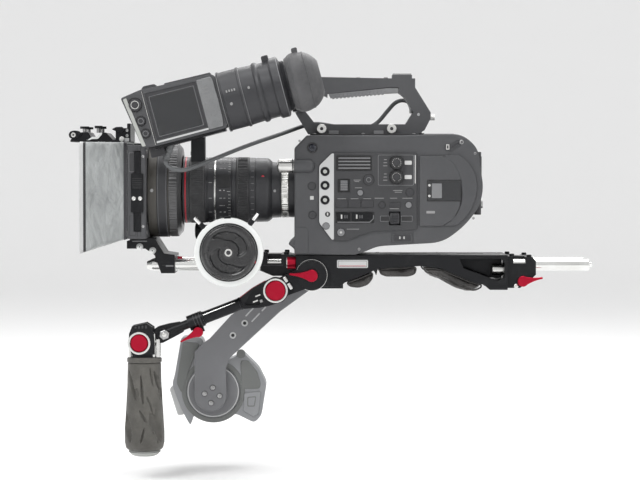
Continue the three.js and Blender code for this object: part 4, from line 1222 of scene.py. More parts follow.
def make_camera_body():
    """The camera shell, its panel, keys, door and dials."""
    x0, x1, near, far, z0, z1 = box_of("camera_body")
    body = Piece("camera_shell", "camera_shell", "camera_body")
    outline = [(-43.8, 44.5), (-43.8, 52), (-52, 58.7), (-43.8, 66), (-43.8, 182.8), (-27.8, 199.3)]
    outline += eased([(98.1, 199.3), (143, 201), (173.1, 201), (194.2, 182.8), (197.7, 154.4), (201.2,
        131.6), (196.2, 106.9), (177, 82.2), (148.6, 60.5), (64.5, 55.7), (46.4, 48.1), (34.7, 44.5)],
        17, False, 6)
    shell = prism(outline, near, far, edge=2.6, segments=3)
    wheel_room = prism(rect(78.8, 93.2, 82.6, 101), near - 1, near + 9.5, edge=0)
    recess = prism([(150, 186), (158, 188), (166, 193), (172, 193), (172, 186), (160, 178), (150,
        179)], near - 1, near + 1.2, ease=1.5, edge=0)
    port = prism(rect(81.5, 110.5, 60, 73), near - 1, near + 1.4, ease=1.5, edge=0)
    body.add("shell", carve(shell, recess, port, wheel_room))
    body.add("shell", prism(CRESCENT, near - 2.4, near + 1, ease=5, edge=1.5, segments=3))
    body.plate("dark", (85, 107, 62.4, 70.6), near + 0.9, near + 1.6, ease=0.8, edge=0.2)
    body.add("mark", *[prism(rect(x, x + 1.6, 65, 68.4), near + 0.2, near + 1.2,
        edge=0.2) for x in (92, 97.5)])
    body.plate("silver", (152.4, 156.6, 180.6, 187.6), near - 1.6, near + 1, ease=0.8, edge=0.4)
    body.plate("dark", (153.6, 155.4, 182, 186.2), near - 1.9, near, edge=0.2)
    body.add("screw", bolt("y", (172.4, 190.4), near + 1.2, 3, -1.8))
    body.add("dark", prism([(159, 184), (160.4, 183), (170.4, 189.6), (169.6, 191)], near - 0.5,
        near + 2, edge=0.2))
    for x, z in ((-21.1, 133.7), (-20.4, 96.1)):
        panel_button(body, x, z, 4.6, near, "panel")
    body.plate("mark", (-23.4, -18.8, 116, 120.6), near - 0.15, near + 0.3, ease=0.4, edge=0.05)
    body.add("edge_dark", ring_of("y", (-20.4, 183), near - 0.5, near + 0.4, 5.2, 7.2, 48, 0.3))
    body.add("glass", lathe("y", [(near + 0.2, 0), (near + 0.2, 5.3), (near - 0.5, 4.6), (near - 1.1,
        2.4), (near - 1.3, 0)], (-20.4, 183), 40))
    stem = lathe("x", [(-44.2, 0), (-44.2, 9.3), (-27, 9.4), (-21, 8.6), (-18.5, 6.2), (-17.3, 3.2),
        (-17, 0)], (near + 2.6, 159.6), 64, ease=1.2)
    body.add("shell", stem)
    body.plate("slat", (-43.9, -31, 56.4, 57.2), near - 0.1, near + 0.4, edge=0.1)
    body.add("shell", prism([(-43.6, 46), (-43.6, 75), (-41, 79.6), (-28, 79.6), (-26, 76), (-26, 46)],
        near - 1.1, near + 1, ease=1.5, edge=0.9, segments=3))
    body.screws("y", near + 0.4, 1.7, -0.8, (-37, 192), (190, 176), (188, 92), (40, 52))

    # The top plate, its rubber strip and screws.
    body.plate("dark", (-24, 118, -30, 30), z1 - 1.2, z1 + 0.5, "z", 4, 0.4)
    for x in (-18, 46, 112):
        for y in (-24, 24):
            body.add("screw", bolt("z", (x, y), z1 + 0.4, 2.2, 1.0, 20))
    body.plate("grey_rubber", (126, 164, -38, 38), z1 - 0.8, z1 + 0.6, "z", 4, 0.4)
    body.add("dark", ring_of("z", (122, 22), z1 - 0.4, z1 + 2.2, 3.1, 6, 40, 0.5))

    # The far side: a vent, two audio sockets under caps, and a door.
    body.plate("panel", (-20, 112, 70, 176), far - 1, far + 1.6, ease=9, edge=0.8)
    body.plate("edge_dark", (-10, 40, 136, 166), far + 1.2, far + 1.9, ease=3, edge=0.2)
    body.add("slat", *[prism(rect(-7, 37, 139.5 + 4.4 * i, 141.3 + 4.4 * i), far + 1.4, far + 2.6,
        ease=0.4, edge=0.3) for i in range(6)])
    for z in (92, 122):
        body.add("screw", ring_of("y", (70, z), far + 1, far + 3.4, 9.6, 12.6, 56, 0.5))
        body.add("edge_dark", disc("y", (70, z), far + 1, far + 1.8, 9.7, 40))
        for a in (90, 210, 330):
            px, pz = 70 + 4.6 * math.cos(math.radians(a)), z + 4.6 * math.sin(math.radians(a))
            body.add("silver", disc("y", (px, pz), far + 1.6, far + 2.6, 1.3, 16))
    body.plate("shell", (122, 178, 86, 170), far - 1, far + 2.2, ease=8, edge=1, segments=3)
    body.plate("edge_dark", (172.5, 175, 116, 140), far + 1.6, far + 2.5, ease=1, edge=0.2)
    body.screws("y", far - 0.4, 1.9, 1.0, (-36, 60), (-36, 190), (116, 60), (188, 150))

    # The rear: a battery plate with its contacts, and a row of round sockets.
    rear = [(x1 - 10, -34), (x1 - 10, 36), (x1 - 1.5, 36), (x1 - 1.5, -34)]
    body.add("dark", prism(rear, 96, 178, "z", 3, 1.0))
    body.add("edge_dark", prism([(x1 - 2.5, -26), (x1 - 2.5, 28), (x1 - 0.4, 28), (x1 - 0.4, -26)],
        126, 172, "z", 1.4, 0.4))
    body.add("silver", *[prism(rect(-8 + 4 * i, -6.4 + 4 * i, 140, 148), x1 - 0.9, x1 + 0.5, "x", 0,
        0.2) for i in range(5)])
    for y in (-20, 1, 22):
        body.add("screw", ring_of("x", (y, 110), x1 - 3, x1 + 1.2, 4.2, 5.8, 36, 0.4))
        body.add("edge_dark", disc("x", (y, 110), x1 - 3, x1 - 1.2, 4.3, 24))
    body.done(40)

    x0, x1, y0, y1, z0, z1 = box_of("control_panel")
    panel = Piece("camera_panel", "camera_shell", "control_panel")
    cuts = [prism(rect(10, 56.6, 153, 173.4), y0 - 1, y0 + 1.9, ease=2.5, edge=0), prism(rect(12, 28.4,
        125.4, 143), y0 - 1, y0 + 1.9, ease=1, edge=0), prism(rect(9.4, 59.6, 85.6, 100.6), y0 - 1,
        y0 + 1.9, ease=1.5, edge=0)]
    plate = carve(cad("control_panel", 0.5), *cuts)
    panel.add("panel", plate)
    strip = [(-11.6, 160), (-11.6, 86), (4.6, 64.4), (7.4, 64.4), (7.4, 175.8), (4.6, 175.8)]
    holes = [disc("y", (-4.1, z), y0 - 2, y0 + 2, 5.25, 32) for z in (152.5, 134.5, 115.6)]
    panel.add("pale", carve(prism(strip, y0 - 0.45, y0 + 0.3, ease=3, edge=0.3), *holes))
    for z in (152.5, 134.5, 115.6):
        panel.add("edge_dark", ring_of("y", (-4.1, z), y0 - 0.8, y0 + 0.2, 5.25, 6.0, 48, 0.2))
    panel.add("edge_dark", prism(circle(-0.8, 97.2, 3.4, 24), y0 - 0.7, y0, edge=0.15))
    panel.plate("mark", (-1.7, 0.1, 95.6, 99.4), y0 - 1.7, y0, ease=0.5, edge=0.3)
    panel.add("edge_dark", ring_of("y", (-2.8, 82), y0 - 0.6, y0, 4.3, 4.8, 36, 0.1))
    panel.add("slat", lathe("y", [(y0, 0), (y0, 4.3), (y0 - 1.2, 4.2), (y0 - 1.5, 3), (y0 - 1.3, 0)],
        (-2.8, 82), 36))

    panel.add("slat", *[prism(rect(13.2, 54.4, 156 + 4.3 * i, 157.7 + 4.3 * i), y0 - 0.1, y0 + 1.9,
        ease=0.4, edge=0.3) for i in range(4)])
    panel.plate("edge_dark", (10.4, 56.2, 153.4, 173), y0 + 1.5, y0 + 2.1, ease=2, edge=0)
    panel.plate("edge_dark", (12.2, 28.2, 125.6, 142.8), y0 + 1.5, y0 + 2.1, edge=0)
    panel.add("slat", *[prism(rect(16, 25, 128.2 + 2.2 * i, 129.8 + 2.2 * i), y0 - 1.6, y0 + 1.6,
        ease=0.3, edge=0.3) for i in range(6)])
    panel.plate("dark", (15.4, 25.6, 127.6, 141), y0 - 0.9, y0 + 1.6, ease=0.6, edge=0.4)
    panel_button(panel, 52.4, 141.8, 6.6, y0, "dark", "panel")
    panel.add("slat", ring_of("y", (52.4, 141.8), y0 - 1.3, y0 - 0.7, 2.6, 3.3, 32, 0.15))
    panel_button(panel, 41.4, 125.0, 3.6, y0, "slat")
    for i in range(3):
        a = 9.8 + 16.5 * i
        panel.plate("edge_dark", (a - 0.4, a + 15.9, 105.9, 116), y0 - 0.25, y0 + 0.2, ease=0.6,
            edge=0.1)
        panel.add("dark", prism([(a, 106.3), (a + 15.4, 106.3), (a + 15.4, 111.4), (a + 15.4, 115.6),
            (a, 115.6)], y0 - 1.3, y0, ease=0.7, edge=0.5, segments=3))
    panel.plate("edge_dark", (9.6, 59.4, 85.8, 100.4), y0 + 1.5, y0 + 2.1, edge=0)
    for a, b in ((11, 28.4), (30.6, 57.2)):
        panel.plate("black", (a, b, 88.8, 99.2), y0 + 0.4, y0 + 1.7, ease=0.8, edge=0.3)
        panel.plate("mark", (a + 5.4, a + 7.2, 91.4, 96.8), y0 - 0.5, y0 + 0.6, ease=0.3, edge=0.2)
        panel.add("slat", *[prism(rect(a + 10 + 1.7 * i, a + 10.5 + 1.7 * i, 92, 96), y0 + 0.2,
            y0 + 0.6, edge=0) for i in range(3)])
    panel.add("slat", prism([(12, 86.4), (54, 86.4), (59, 91.4), (59, 96), (58, 96), (58, 91.8), (53.6,
        87.4), (12, 87.4)], y0 - 0.2, y0 + 1.7, edge=0.1))
    panel_button(panel, 16.5, 73.7, 4.8, y0, "slat")
    panel.add("mark", lathe("y", [(y0 - 0.8, 0), (y0 - 0.8, 1.5), (y0 - 1.4, 1.3), (y0 - 1.4, 0)],
        (16.5, 73.7), 24))
    for z in (163.8, 145.3):
        panel.add("edge_dark", ring_of("y", (88.3, z), y0 - 0.4, y0 + 0.2, 8.4, 9.8, 64, 0.2))
        panel.plate("mark", (98.8, 108, z - 2.6, z + 2.6), y0 - 0.25, y0 + 0.2, ease=1.2, edge=0.1)
        panel.add("mark_grey", *[prism(rect(71 + 0.6 * i, 76.4 - 0.4 * i, z - 4.4 + 4 * i,
            z - 3.6 + 4 * i), y0 - 0.12, y0 + 0.1, edge=0) for i in range(3)])
        panel.add("mark", prism([(78.4, z), (79.4, z + 3.4), (80, z + 3.4), (79.2, z), (80, z - 3.4),
            (79.4, z - 3.4)], y0 - 0.12, y0 + 0.1, edge=0))
    panel.plate("mark", (111.9, 113.1, 137, 173.6), y0 - 0.3, y0 + 0.2, ease=0.3, edge=0.1)
    panel.add("slat", rim(eased(rect(64.4, 110.6, 134.4, 174), 2, True), eased(rect(64.9, 110.1, 134.9,
        173.5), 1.8, True), y0 - 0.14, y0 + 0.1, edge=0))
    panel_button(panel, 105.6, 125.4, 4.9, y0, "dark")
    panel_button(panel, 69.8, 109.2, 3.9, y0, "dark")
    panel_button(panel, 104.0, 109.2, 3.9, y0, "slat")
    panel.plate("edge_dark", (79.6, 94.2, 106.2, 112.4), y0 - 0.2, y0 + 0.2, ease=0.8, edge=0.1)
    panel.plate("dark", (80, 93.8, 106.6, 112), y0 - 1.1, y0, ease=0.8, edge=0.4)
    for a, b in ((67.2, 79.4), (94, 109)):
        panel.plate("edge_dark", (a, b, 87.8, 95.2), y0 - 0.35, y0 + 0.2, ease=0.8, edge=0.2)
        panel.add("slat", rim(eased(rect(a, b, 87.8, 95.2), 0.8, True), eased(rect(a + 0.6, b - 0.6,
            88.4, 94.6), 0.6, True), y0 - 0.6, y0, edge=0.1))
    panel.add("mark_grey", *[prism(rect(a, a + w, z, z + 0.7), y0 - 0.1, y0 + 0.1, edge=0) for a, w,
        z in ((32.8, 9, 141), (34, 6, 139.2), (34.6, 9, 131), (60, 12, 117.6), (80, 9, 117.6), (96, 13,
        117.6), (79.6, 12, 104), (24, 16, 77.6), (12, 11, 116.9), (29, 10, 116.9), (45.4, 10, 116.9),
        (84, 12, 127.6), (86, 9, 125.4))])
    panel.done(40)

    for name, node in (("assign_key_upper", "assign_button_upper"), ("assign_key_middle",
            "assign_button_middle"), ("assign_key_lower", "assign_button_lower")):
        a0, a1, y0, y1, c0, c1 = box_of(node)
        centre, r = ((a0 + a1) / 2, (c0 + c1) / 2), (a1 - a0) / 2
        key = Piece(name, "dark_plastic", node)
        key.add("black", lathe("y", [(y1, 0), (y1, r), (y0 + 0.5, r), (y0, r - 0.6), (y0 + 0.7,
            r * 0.62), (y0 + 0.8, 0)], centre, 48))
        key.add("cap", lathe("y", [(y0 + 1, 0), (y0 + 1, r * 0.52), (y0 + 0.3, r * 0.5), (y0, r * 0.3),
            (y0 - 0.1, 0)], centre, 32))
        key.done()

    a0, a1, y0, y1, c0, c1 = box_of("card_door")
    door = Piece("media_door", "camera_shell", "card_door")
    slot = prism(rect(128, a1 + 3, 114.2, 141.4), y0 - 1, y0 + 1.3, ease=1.2, edge=0)
    door.add("shell", carve(cad("card_door", 0.8, 30, 3), slot))
    door.plate("screen", (128.2, a1 - 0.6, 114.4, 141.2), y0 + 0.9, y0 + 1.6, ease=1, edge=0.15)
    door.plate("slat", (134, 147, 118, 137), y0 + 0.7, y0 + 1.4, ease=1, edge=0.1)
    door.add("mark", *[disc("y", (130.9, z), y0 + 1.2, y0 + 0.5, 1.6, 24) for z in (134.6, 120.8)])
    door.plate("mark_grey", (127, 138, 98.2, 101.4), y0 - 0.12, y0 + 0.1, ease=0.4, edge=0)
    door.add("edge_dark", rim(eased(rect(127.4, a1 - 0.2, 113.6, 142), 1.4, True), eased(rect(128.2,
        a1 - 0.9, 114.4, 141.2), 1, True), y0 - 0.15, y0 + 1, edge=0.1))
    door.done(40)

    a0, a1, y0, y1, c0, c1 = box_of("nd_dial")
    centre, r = ((y0 + y1) / 2, (c0 + c1) / 2), (c1 - c0) / 2
    dial = Piece("filter_dial", "machined_silver", "nd_dial")
    dial.add("silver", lathe("x", [(a0, 0), (a0, r - 2.4), (a0 + 1.6, r - 0.6), (a0 + 3, r), (a1 - 3,
        r), (a1 - 2, r - 0.5), (a1, r - 0.6), (a1, 0)], centre, 176, ribs(44, 0.45, a0 + 3.5, a1 - 4)))
    dial.add("dark", lathe("x", [(a1 - 2.6, r - 1), (a1 - 2.6, r + 0.1), (a1 - 1.6, r + 0.1),
        (a1 - 1.6, r - 1), (a1 - 2.6, r - 1)], centre, 64))
    dial.add("dark", lathe("x", [(a0 + 0.2, 0), (a0 - 0.1, 2.6), (a0 + 1, 2.6), (a0 + 1, 0)], centre,
        24))
    dial.done()
    for name, node in (("level_knob_upper", "audio_dial_upper"), ("level_knob_lower",
            "audio_dial_lower")):
        a0, a1, y0, y1, c0, c1 = box_of(node)
        centre, r = ((a0 + a1) / 2, (c0 + c1) / 2), (a1 - a0) / 2
        dial = Piece(name, "dark_plastic", node)
        dial.add("edge_dark", knob("y", centre, y0, y1, r, 40, 0.3))
        dial.add("mark", *[lathe("y", [(y0 - 0.12, 0), (y0 - 0.12, 0.45), (y0 + 0.3, 0.45), (y0 + 0.3,
            0)], (centre[0] + 5.4 * math.cos(math.radians(a)),
            centre[1] + 5.4 * math.sin(math.radians(a))), 12) for a in range(-60, 241, 25)])
        dial.add("dark", lathe("y", [(y0 - 0.1, 0), (y0 - 0.1, 3.6), (y0 + 0.4, 3.8), (y0 + 0.4, 0)],
            centre, 40))
        dial.done()
    a0, a1, y0, y1, c0, c1 = box_of("select_wheel")
    wheel = Piece("select_thumb_wheel", "dark_plastic", "select_wheel")
    wheel.add("dark", knob("x", ((y0 + y1) / 2, (c0 + c1) / 2), a0, a1, (c1 - c0) / 2, 26, 0.7))
    wheel.done()


def make_handle():
    """The top handle and its ribbed insert."""
    x0, x1, y0, y1, z0, z1 = box_of("top_handle")
    handle = Piece("handle_frame", "camera_shell", "top_handle")
    handle.add("shell", cad("top_handle", 3.2, 24, 3))
    for x in (-8.4, 83.2):
        handle.add("silver", knob("y", (x, 208.4), y0 - 8.5, y0 - 1.5, 6.2, 30, 0.35))
        handle.add("silver", disc("y", (x, 208.4), y0 - 2, y0 + 2, 3.4, 32))
        handle.add("dark", lathe("y", [(y0 - 8.6, 0), (y0 - 8.6, 2.2), (y0 - 8, 2.4), (y0 - 8, 0)], (x,
            208.4), 24))
    for x in (7.4, 66.4):
        handle.plate("slat", (x - 6.4, x + 6.4, 201.6, 206), y0 - 2.4, y0 + 2, ease=0.8, edge=0.5)
    rear = x1
    handle.add("silver", knob("x", (0, 223.6), rear - 1, rear + 6, 3.9, 18, 0.35))
    handle.add("screw", bolt("y", (118.6, 227), y0 + 0.2, 1.9, -0.9, 20))
    for y in (-9.6, 7.4):
        handle.plate("screw", (85, 109.4, y, y + 2.2), z1 - 0.3, z1 + 2.0, "z", 0.6, 0.3)
    handle.plate("screw", (84.6, 109.8, -11.5, 11.5), z1 - 1.4, z1 - 0.1, "z", 1, 0.3)
    for x in (4, 40, 76):
        handle.add("screw", bolt("z", (x, 0), 275.2, 2.6, 1.3))
    handle.done(44)

    x0, x1, y0, y1, z0, z1 = box_of("handle_grip")
    grip = Piece("handle_insert", "grey_rubber", "handle_grip")
    grip.add("grey_rubber", prism([(0.8, 254), (3.4, 248.8), (74.4, 254.8), (92, 255.6), (92, 261.6),
        (78, 261.6)], y0 + 0.2, y1 - 0.2, ease=1, edge=1.2, segments=3))
    for i in range(14):
        x = 5.6 + 5.0 * i
        low = 248.2 + 0.087 * (x - 3.4)
        high = min(261.0, 254 + 0.1 * (x - 0.8))
        grip.add("grey_rubber", prism([(x, low - 0.5), (x + 3.1, low - 0.2), (x + 3.4, high), (x + 0.3,
            high)], y0 - 0.7, y1 + 0.7, ease=0.7, edge=0.5))
    tail = smooth_line([(78, 0, 258.4), (88, 0, 258.6), (97, 0, 254), (104, 0, 246), (108.6, 0, 236),
        (109.2, 0, 229)], 4)
    flat = tube(tail, 2.0, 16)
    for vertex in flat.verts:
        vertex.co.y *= 5.6
    grip.add("grey_rubber", flat)
    grip.done(40)


make_camera_body()
make_handle()

# ------------------------------------------------------------------ zoom lens

LENS_AXIS = (0, 128)


def around_lens(angle):
    """Turns a part made on the lens's near side round its axis."""
    return Matrix.Translation((0, 0, LENS_AXIS[1])) @ Matrix.Rotation(math.radians(angle), 4, "X")


def make_lens():
    """The lens tube and its three rings."""
    barrel = Piece("lens_tube", "lens_black", "lens_barrel")
    profile = [(-184, 0), (-184.4, 20), (-183.6, 34.4), (-186, 36), (-189.3, 38.2), (-190, 39.2),
        (-190, 42.6), (-189.4, 43.3), (-187.3, 43.3), (-187.3, 42.4), (-185, 42.4), (-185, 43.3),
        (-181.3, 43.3), (-181.3, 40), (-160.7, 40), (-160.7, 42.8), (-158.2, 42.8), (-158, 42.1),
        (-157.4, 42.1), (-157.2, 42.8), (-148.6, 43), (-148.6, 42.2), (-146.4, 42.2), (-146.4, 42.7),
        (-126.2, 43), (-126, 42.2), (-125.2, 42.2), (-125, 43), (-120.3, 43), (-120.3, 40), (-102.7,
        40), (-102.7, 42.5), (-95.2, 42.3), (-95, 41.6), (-94.2, 41.6), (-94, 42.3), (-80, 41.9),
        (-77.6, 41.2), (-74, 38.2), (-73, 36.8), (-64, 36.4), (-63.8, 35.8), (-63.2, 35.8), (-63,
        36.4), (-61.7, 36.4), (-61.7, 33.5), (-51.2, 33.5), (-51.2, 36), (-44.1, 36), (-44.1, 0)]
    barrel.add("lens", lathe("x", profile, LENS_AXIS, 120))
    barrel.add("red_paint", ring_of("x", LENS_AXIS, -187.2, -185.1, 42, 43.6, 120, 0.4))
    barrel.add("silver", ring_of("x", LENS_AXIS, -148.5, -146.5, 42, 43.1, 120, 0.3))
    barrel.add("glass", lathe("x", [(-184.2, 0), (-188.6, 0), (-188.2, 12), (-186.9, 22), (-184.4,
        34.2)], LENS_AXIS, 96))
    barrel.add("edge_dark", ring_of("x", LENS_AXIS, -186.6, -184, 33.4, 35.4, 96, 0.4))
    barrel.add("red_paint", disc("y", (-85, 145.6), -38.2, -37, 1.9, 24))
    barrel.add("screw", bolt("y", (-69.6, 127.2), -36.3, 1.8, -0.9, 20))
    window = prism(rect(-144.6, -127.4, -9, 9), -43.15, -42.3, ease=1.2, edge=0.3)
    barrel.add("edge_dark", window, turn=around_lens(-16))
    for angle in range(0, 360, 6):
        long = angle % 30 == 0
        tick = prism(rect(-131.6 if long else -130, -127.2, -0.22, 0.22), -43.0, -42.6, edge=0)
        if angle not in range(330, 360):
            barrel.add("mark", tick, turn=around_lens(angle + 2))
        short = prism(rect(-100.6, -96.6, -0.2, 0.2), -42.5, -42.1, edge=0)
        if angle % 12 == 0:
            barrel.add("mark_grey", short, turn=around_lens(angle))
    for k in range(26):
        angle = k * 13.85
        for x, w in ((-141.5, 2.2 + 1.2 * (k % 3)), (-136.2, 1.5 + (k % 2))):
            glyph = prism(rect(x, x + w, -0.5, 0.5), -42.95, -42.6, edge=0)
            barrel.add("mark_grey" if k % 3 else "mark", glyph, turn=around_lens(angle))
        if k % 2:
            glyph = prism(rect(-155.4, -151.4, -0.42, 0.42), -43.05, -42.8, edge=0)
            barrel.add("mark_grey", glyph, turn=around_lens(angle))
    barrel.done(30)

    for name, node, low, high, inner, outer, count, depth in (("focus_barrel_ring", "lens_focus_ring",
            -181, -161, 40.3, 43.4, 150, 0.5), ("zoom_barrel_ring", "lens_zoom_ring", -120, -103, 40.3,
            43.1, 96, 0.75)):
        ring = Piece(name, "grip_rubber", node)
        ring.add("ring_rubber", lathe("x", [(low, inner), (low, outer - 0.8), (low + 0.7, outer),
            (low + 2.2, outer), (low + 2.3, outer), (high - 2.3, outer), (high - 2.2, outer),
            (high - 0.7, outer), (high, outer - 0.8), (high, inner), (low, inner)], LENS_AXIS,
            count * 4, ribs(count, depth, low + 2.25, high - 2.25)))
        if node == "lens_zoom_ring":
            ring.add("ring_rubber", prism(rect(low + 5, high - 5, -3, 3), -49, -42, ease=1.6,
                edge=0.9), turn=around_lens(148))
        ring.done(30)
    mount = Piece("lens_mount_collar", "machined_silver", "lens_mount_ring")
    mount.add("silver", lathe("x", [(-61.4, 33.8), (-61.4, 35.6), (-60.6, 36.3), (-59, 36.3), (-53.9,
        36.3), (-52.3, 36.3), (-51.5, 35.6), (-51.5, 33.8), (-61.4, 33.8)], LENS_AXIS, 288, ribs(72,
        0.6, -59.5, -53.5)))
    for angle in (20, 140, 260):
        mount.add("silver", prism(rect(-59.4, -53.4, -4, 4), -39.6, -35.6, ease=1, edge=0.8),
            turn=around_lens(angle))
    mount.done(30)


make_lens()

# ------------------------------------------------------------------ matte box


def resampled(points, count):
    """Evenly spaced points round a closed outline."""
    points = [Vector(p) for p in points]
    sides = [(b - a).length for a, b in zip(points, points[1:] + points[:1])]
    step, made, done, i = sum(sides) / count, [], 0.0, 0
    for k in range(count):
        at = k * step
        while done + sides[i] < at:
            done += sides[i]
            i += 1
        a, b = points[i], points[(i + 1) % len(points)]
        made.append(a.lerp(b, (at - done) / sides[i]))
    return made


def loft(rings):
    """A closed skin over rings that each have as many points, joined round into a tube."""
    n, m = len(rings), len(rings[0])
    verts = [tuple(p) for ring in rings for p in ring]
    faces = [(i * m + k, i * m + (k + 1) % m, (i + 1) % n * m + (k + 1) % m,
        (i + 1) % n * m + k) for i in range(n) for k in range(m)]
    return part_of(verts, faces)


HOOD_FRONT, HOOD_REAR, HOOD_TOP = -317, -258.3, 190.6
HOOD_GROW, HOOD_DROP = 25 / 59, 18.3 / 59


def hood_ring(x, inset, crinkle=0.0, count=280):
    """The hood outline at a place along the lens, with its folds."""
    reach = -258 - x
    half, low = 80 + HOOD_GROW * reach - inset, 65.9 - HOOD_DROP * reach + inset
    line = resampled(eased(rect(-half, half, low, HOOD_TOP - inset), 5, True, 6), count)
    made = []
    for p in line:
        if crinkle:
            at = Vector((x * 0.045, p.x * 0.03, p.y * 0.03))
            fold = abs(noise.noise(at * 1.3)) + 0.5 * abs(noise.noise(at
                * 3.1)) + 0.25 * noise.noise(at * 7)
            share = min(1, (x - HOOD_FRONT - 8) / 10, (HOOD_REAR - x) / 6)
            shrink = crinkle * fold * max(0, share)
            p = Vector((p.x * (1 - shrink / half), p.y + (1 if p.y < 128 else -1) * shrink * 0.6))
        made.append((x, p.x, p.y))
    return made


def make_matte_box():
    """The hood, stage, filter tray, adapter, bracket and flag mount."""
    hood = Piece("matte_hood_shell", "hood_fabric", "matte_hood")
    steps = 40
    places = [-309 + (HOOD_REAR + 309) * i / steps for i in range(steps + 1)]
    skin = [hood_ring(x, 0.1, 3.0) for x in places]
    lining = [hood_ring(x, 2.6, 0) for x in reversed(places)]
    hood.add("cloth", loft(skin + [hood_ring(HOOD_REAR, 2.2)] + [hood_ring(-309, 2.2)]))
    hood.add("dark", loft([hood_ring(x, 2.3) for x in places] + lining))
    # A dark band just behind the front rim: painted shade.
    hood.add("edge_dark", loft([hood_ring(-312.4, 0.5), hood_ring(-308.6, 0.5), hood_ring(-308.6, 2.7),
        hood_ring(-312.4, 2.7)]))
    # The pale front rim is a painted highlight along its rounded edge.
    hood.add("pale", loft([hood_ring(-312.2, 0.1), hood_ring(-315.8, -0.1), hood_ring(-316.8, 0.4),
        hood_ring(-317, 1.2), hood_ring(-316.6, 2.2), hood_ring(-315.4, 2.8), hood_ring(-312.2, 2.8)]))
    hood.add("dark", loft([hood_ring(-262.4, -0.2), hood_ring(-258.4, -0.2), hood_ring(-258.4, 1.6),
        hood_ring(-262.4, 1.6)]))
    hood.done(60)

    x0, x1, y0, y1, z0, z1 = box_of("matte_frame")
    stage = Piece("matte_stage", "anodised_black", "matte_frame")
    stage.add("shell", carve(cad("matte_frame", 1.5, 30, 3), prism(rect(-255.8, -246, 152, 176.8),
        y0 - 1, y0 + 0.9, ease=1.6, edge=0)))
    stage.add("slat", rim(eased(rect(-255.8, -246, 152, 176.8), 1.6, True), eased(rect(-255.3, -246.5,
        152.5, 176.3), 1.4, True), y0 - 0.2, y0 + 0.6, edge=0.05))
    stage.plate("panel", (-255.2, -246.6, 152.6, 176.2), y0 + 0.5, y0 + 1, ease=1.2, edge=0)
    for x in (-245, -240.6):
        stage.plate("edge_dark", (x - 0.35, x + 0.35, z0 + 3, z1 - 3), y0 - 0.12, y0 + 0.2, edge=0.05)
    stage.add("edge_dark", rim(eased(rect(-255.6, -247, 70, 96), 1.6, True), eased(rect(-255, -247.6,
        70.6, 95.4), 1.4, True), y0 - 0.15, y0 + 0.2, edge=0.05))
    for y in (-70, 70):
        for z in (74, 178):
            stage.add("screw", bolt("x", (y, z), x0 + 0.2, 2.4, -1.0), bolt("x", (y, z), x1 - 0.2, 2.4,
                1.0))
    for z in (82, 172):
        stage.add("screw", bolt("y", (-237.6, z), y0 + 0.3, 1.9, -0.8), bolt("y", (-240, z), y1 - 0.3,
            2.4, 1.0))
    stage.plate("black", (-254, -238, 96, 160), y1 - 0.3, y1 + 2.4, ease=2, edge=0.8)
    stage.add("black", knob("y", (-246, 128), y1 + 2, y1 + 8.4, 6.2, 30, 0.4))
    stage.plate("black", (-252, -240, -46, 46), z1 - 0.5, z1 + 2.0, "z", 2, 0.6)
    for y in (-38, 0, 38):
        stage.add("screw", bolt("z", (-246, y), z1 + 1.8, 2.6, 1.1))
    stage.done(40)

    x0, x1, y0, y1, z0, z1 = box_of("filter_tray")
    tray = Piece("filter_slide", "anodised_black", "filter_tray").add("black", cad("filter_tray", 0.7))
    for x in (-249.4, -241.2):
        tray.add("silver", bolt("y", (x, 118), y0 + 0.1, 2.7, -1.2))
    tray.add("edge_dark", *[prism(rect(-251.4, -239, 131 + 2.4 * i, 132 + 2.4 * i), y0 - 0.5, y0 + 0.3,
        ease=0.3, edge=0.2) for i in range(6)])
    tray.plate("filter_glass", (-60.5, 60.5, 81.5, 172.5), -246.4, -243.6, "x", 2, 0.2)
    tray.done(40)

    ring = Piece("rear_adapter", "lens_black", "matte_ring")
    ring.add("brown", ring_of("x", LENS_AXIS, -233.6, -222.2, 46, 61.6, 120, 0.8))
    ring.add("lens", ring_of("x", LENS_AXIS, -222.2, -208.4, 46, 61.8, 288, 0.5, lambda a, x,
        r: r - (1.1 if r > 55 and -219.5 < x < -211 and math.cos(36 * a) < -0.35 else 0)))
    ring.add("brown", ring_of("x", LENS_AXIS, -208.4, -207.2, 46, 60.6, 120, 0.3))
    ring.add("streak", lathe("x", [(-207.2, 46), (-207.2, 60.4), (-206.4, 61.3), (-205.4, 61.3),
        (-197.2, 61.2), (-196, 61), (-194, 58.6), (-191, 55), (-191, 46), (-207.2, 46)], LENS_AXIS,
        384, ribs(96, 0.6, -206, -196.6)))
    for x in (-220.6, -210):
        ring.add("slat", ring_of("x", LENS_AXIS, x, x + 0.5, 60, 61.9, 120, 0.1))
    ring.add("screw", bolt("y", (-228, 128), -61.4, 2.2, -1))
    ring.done(30)

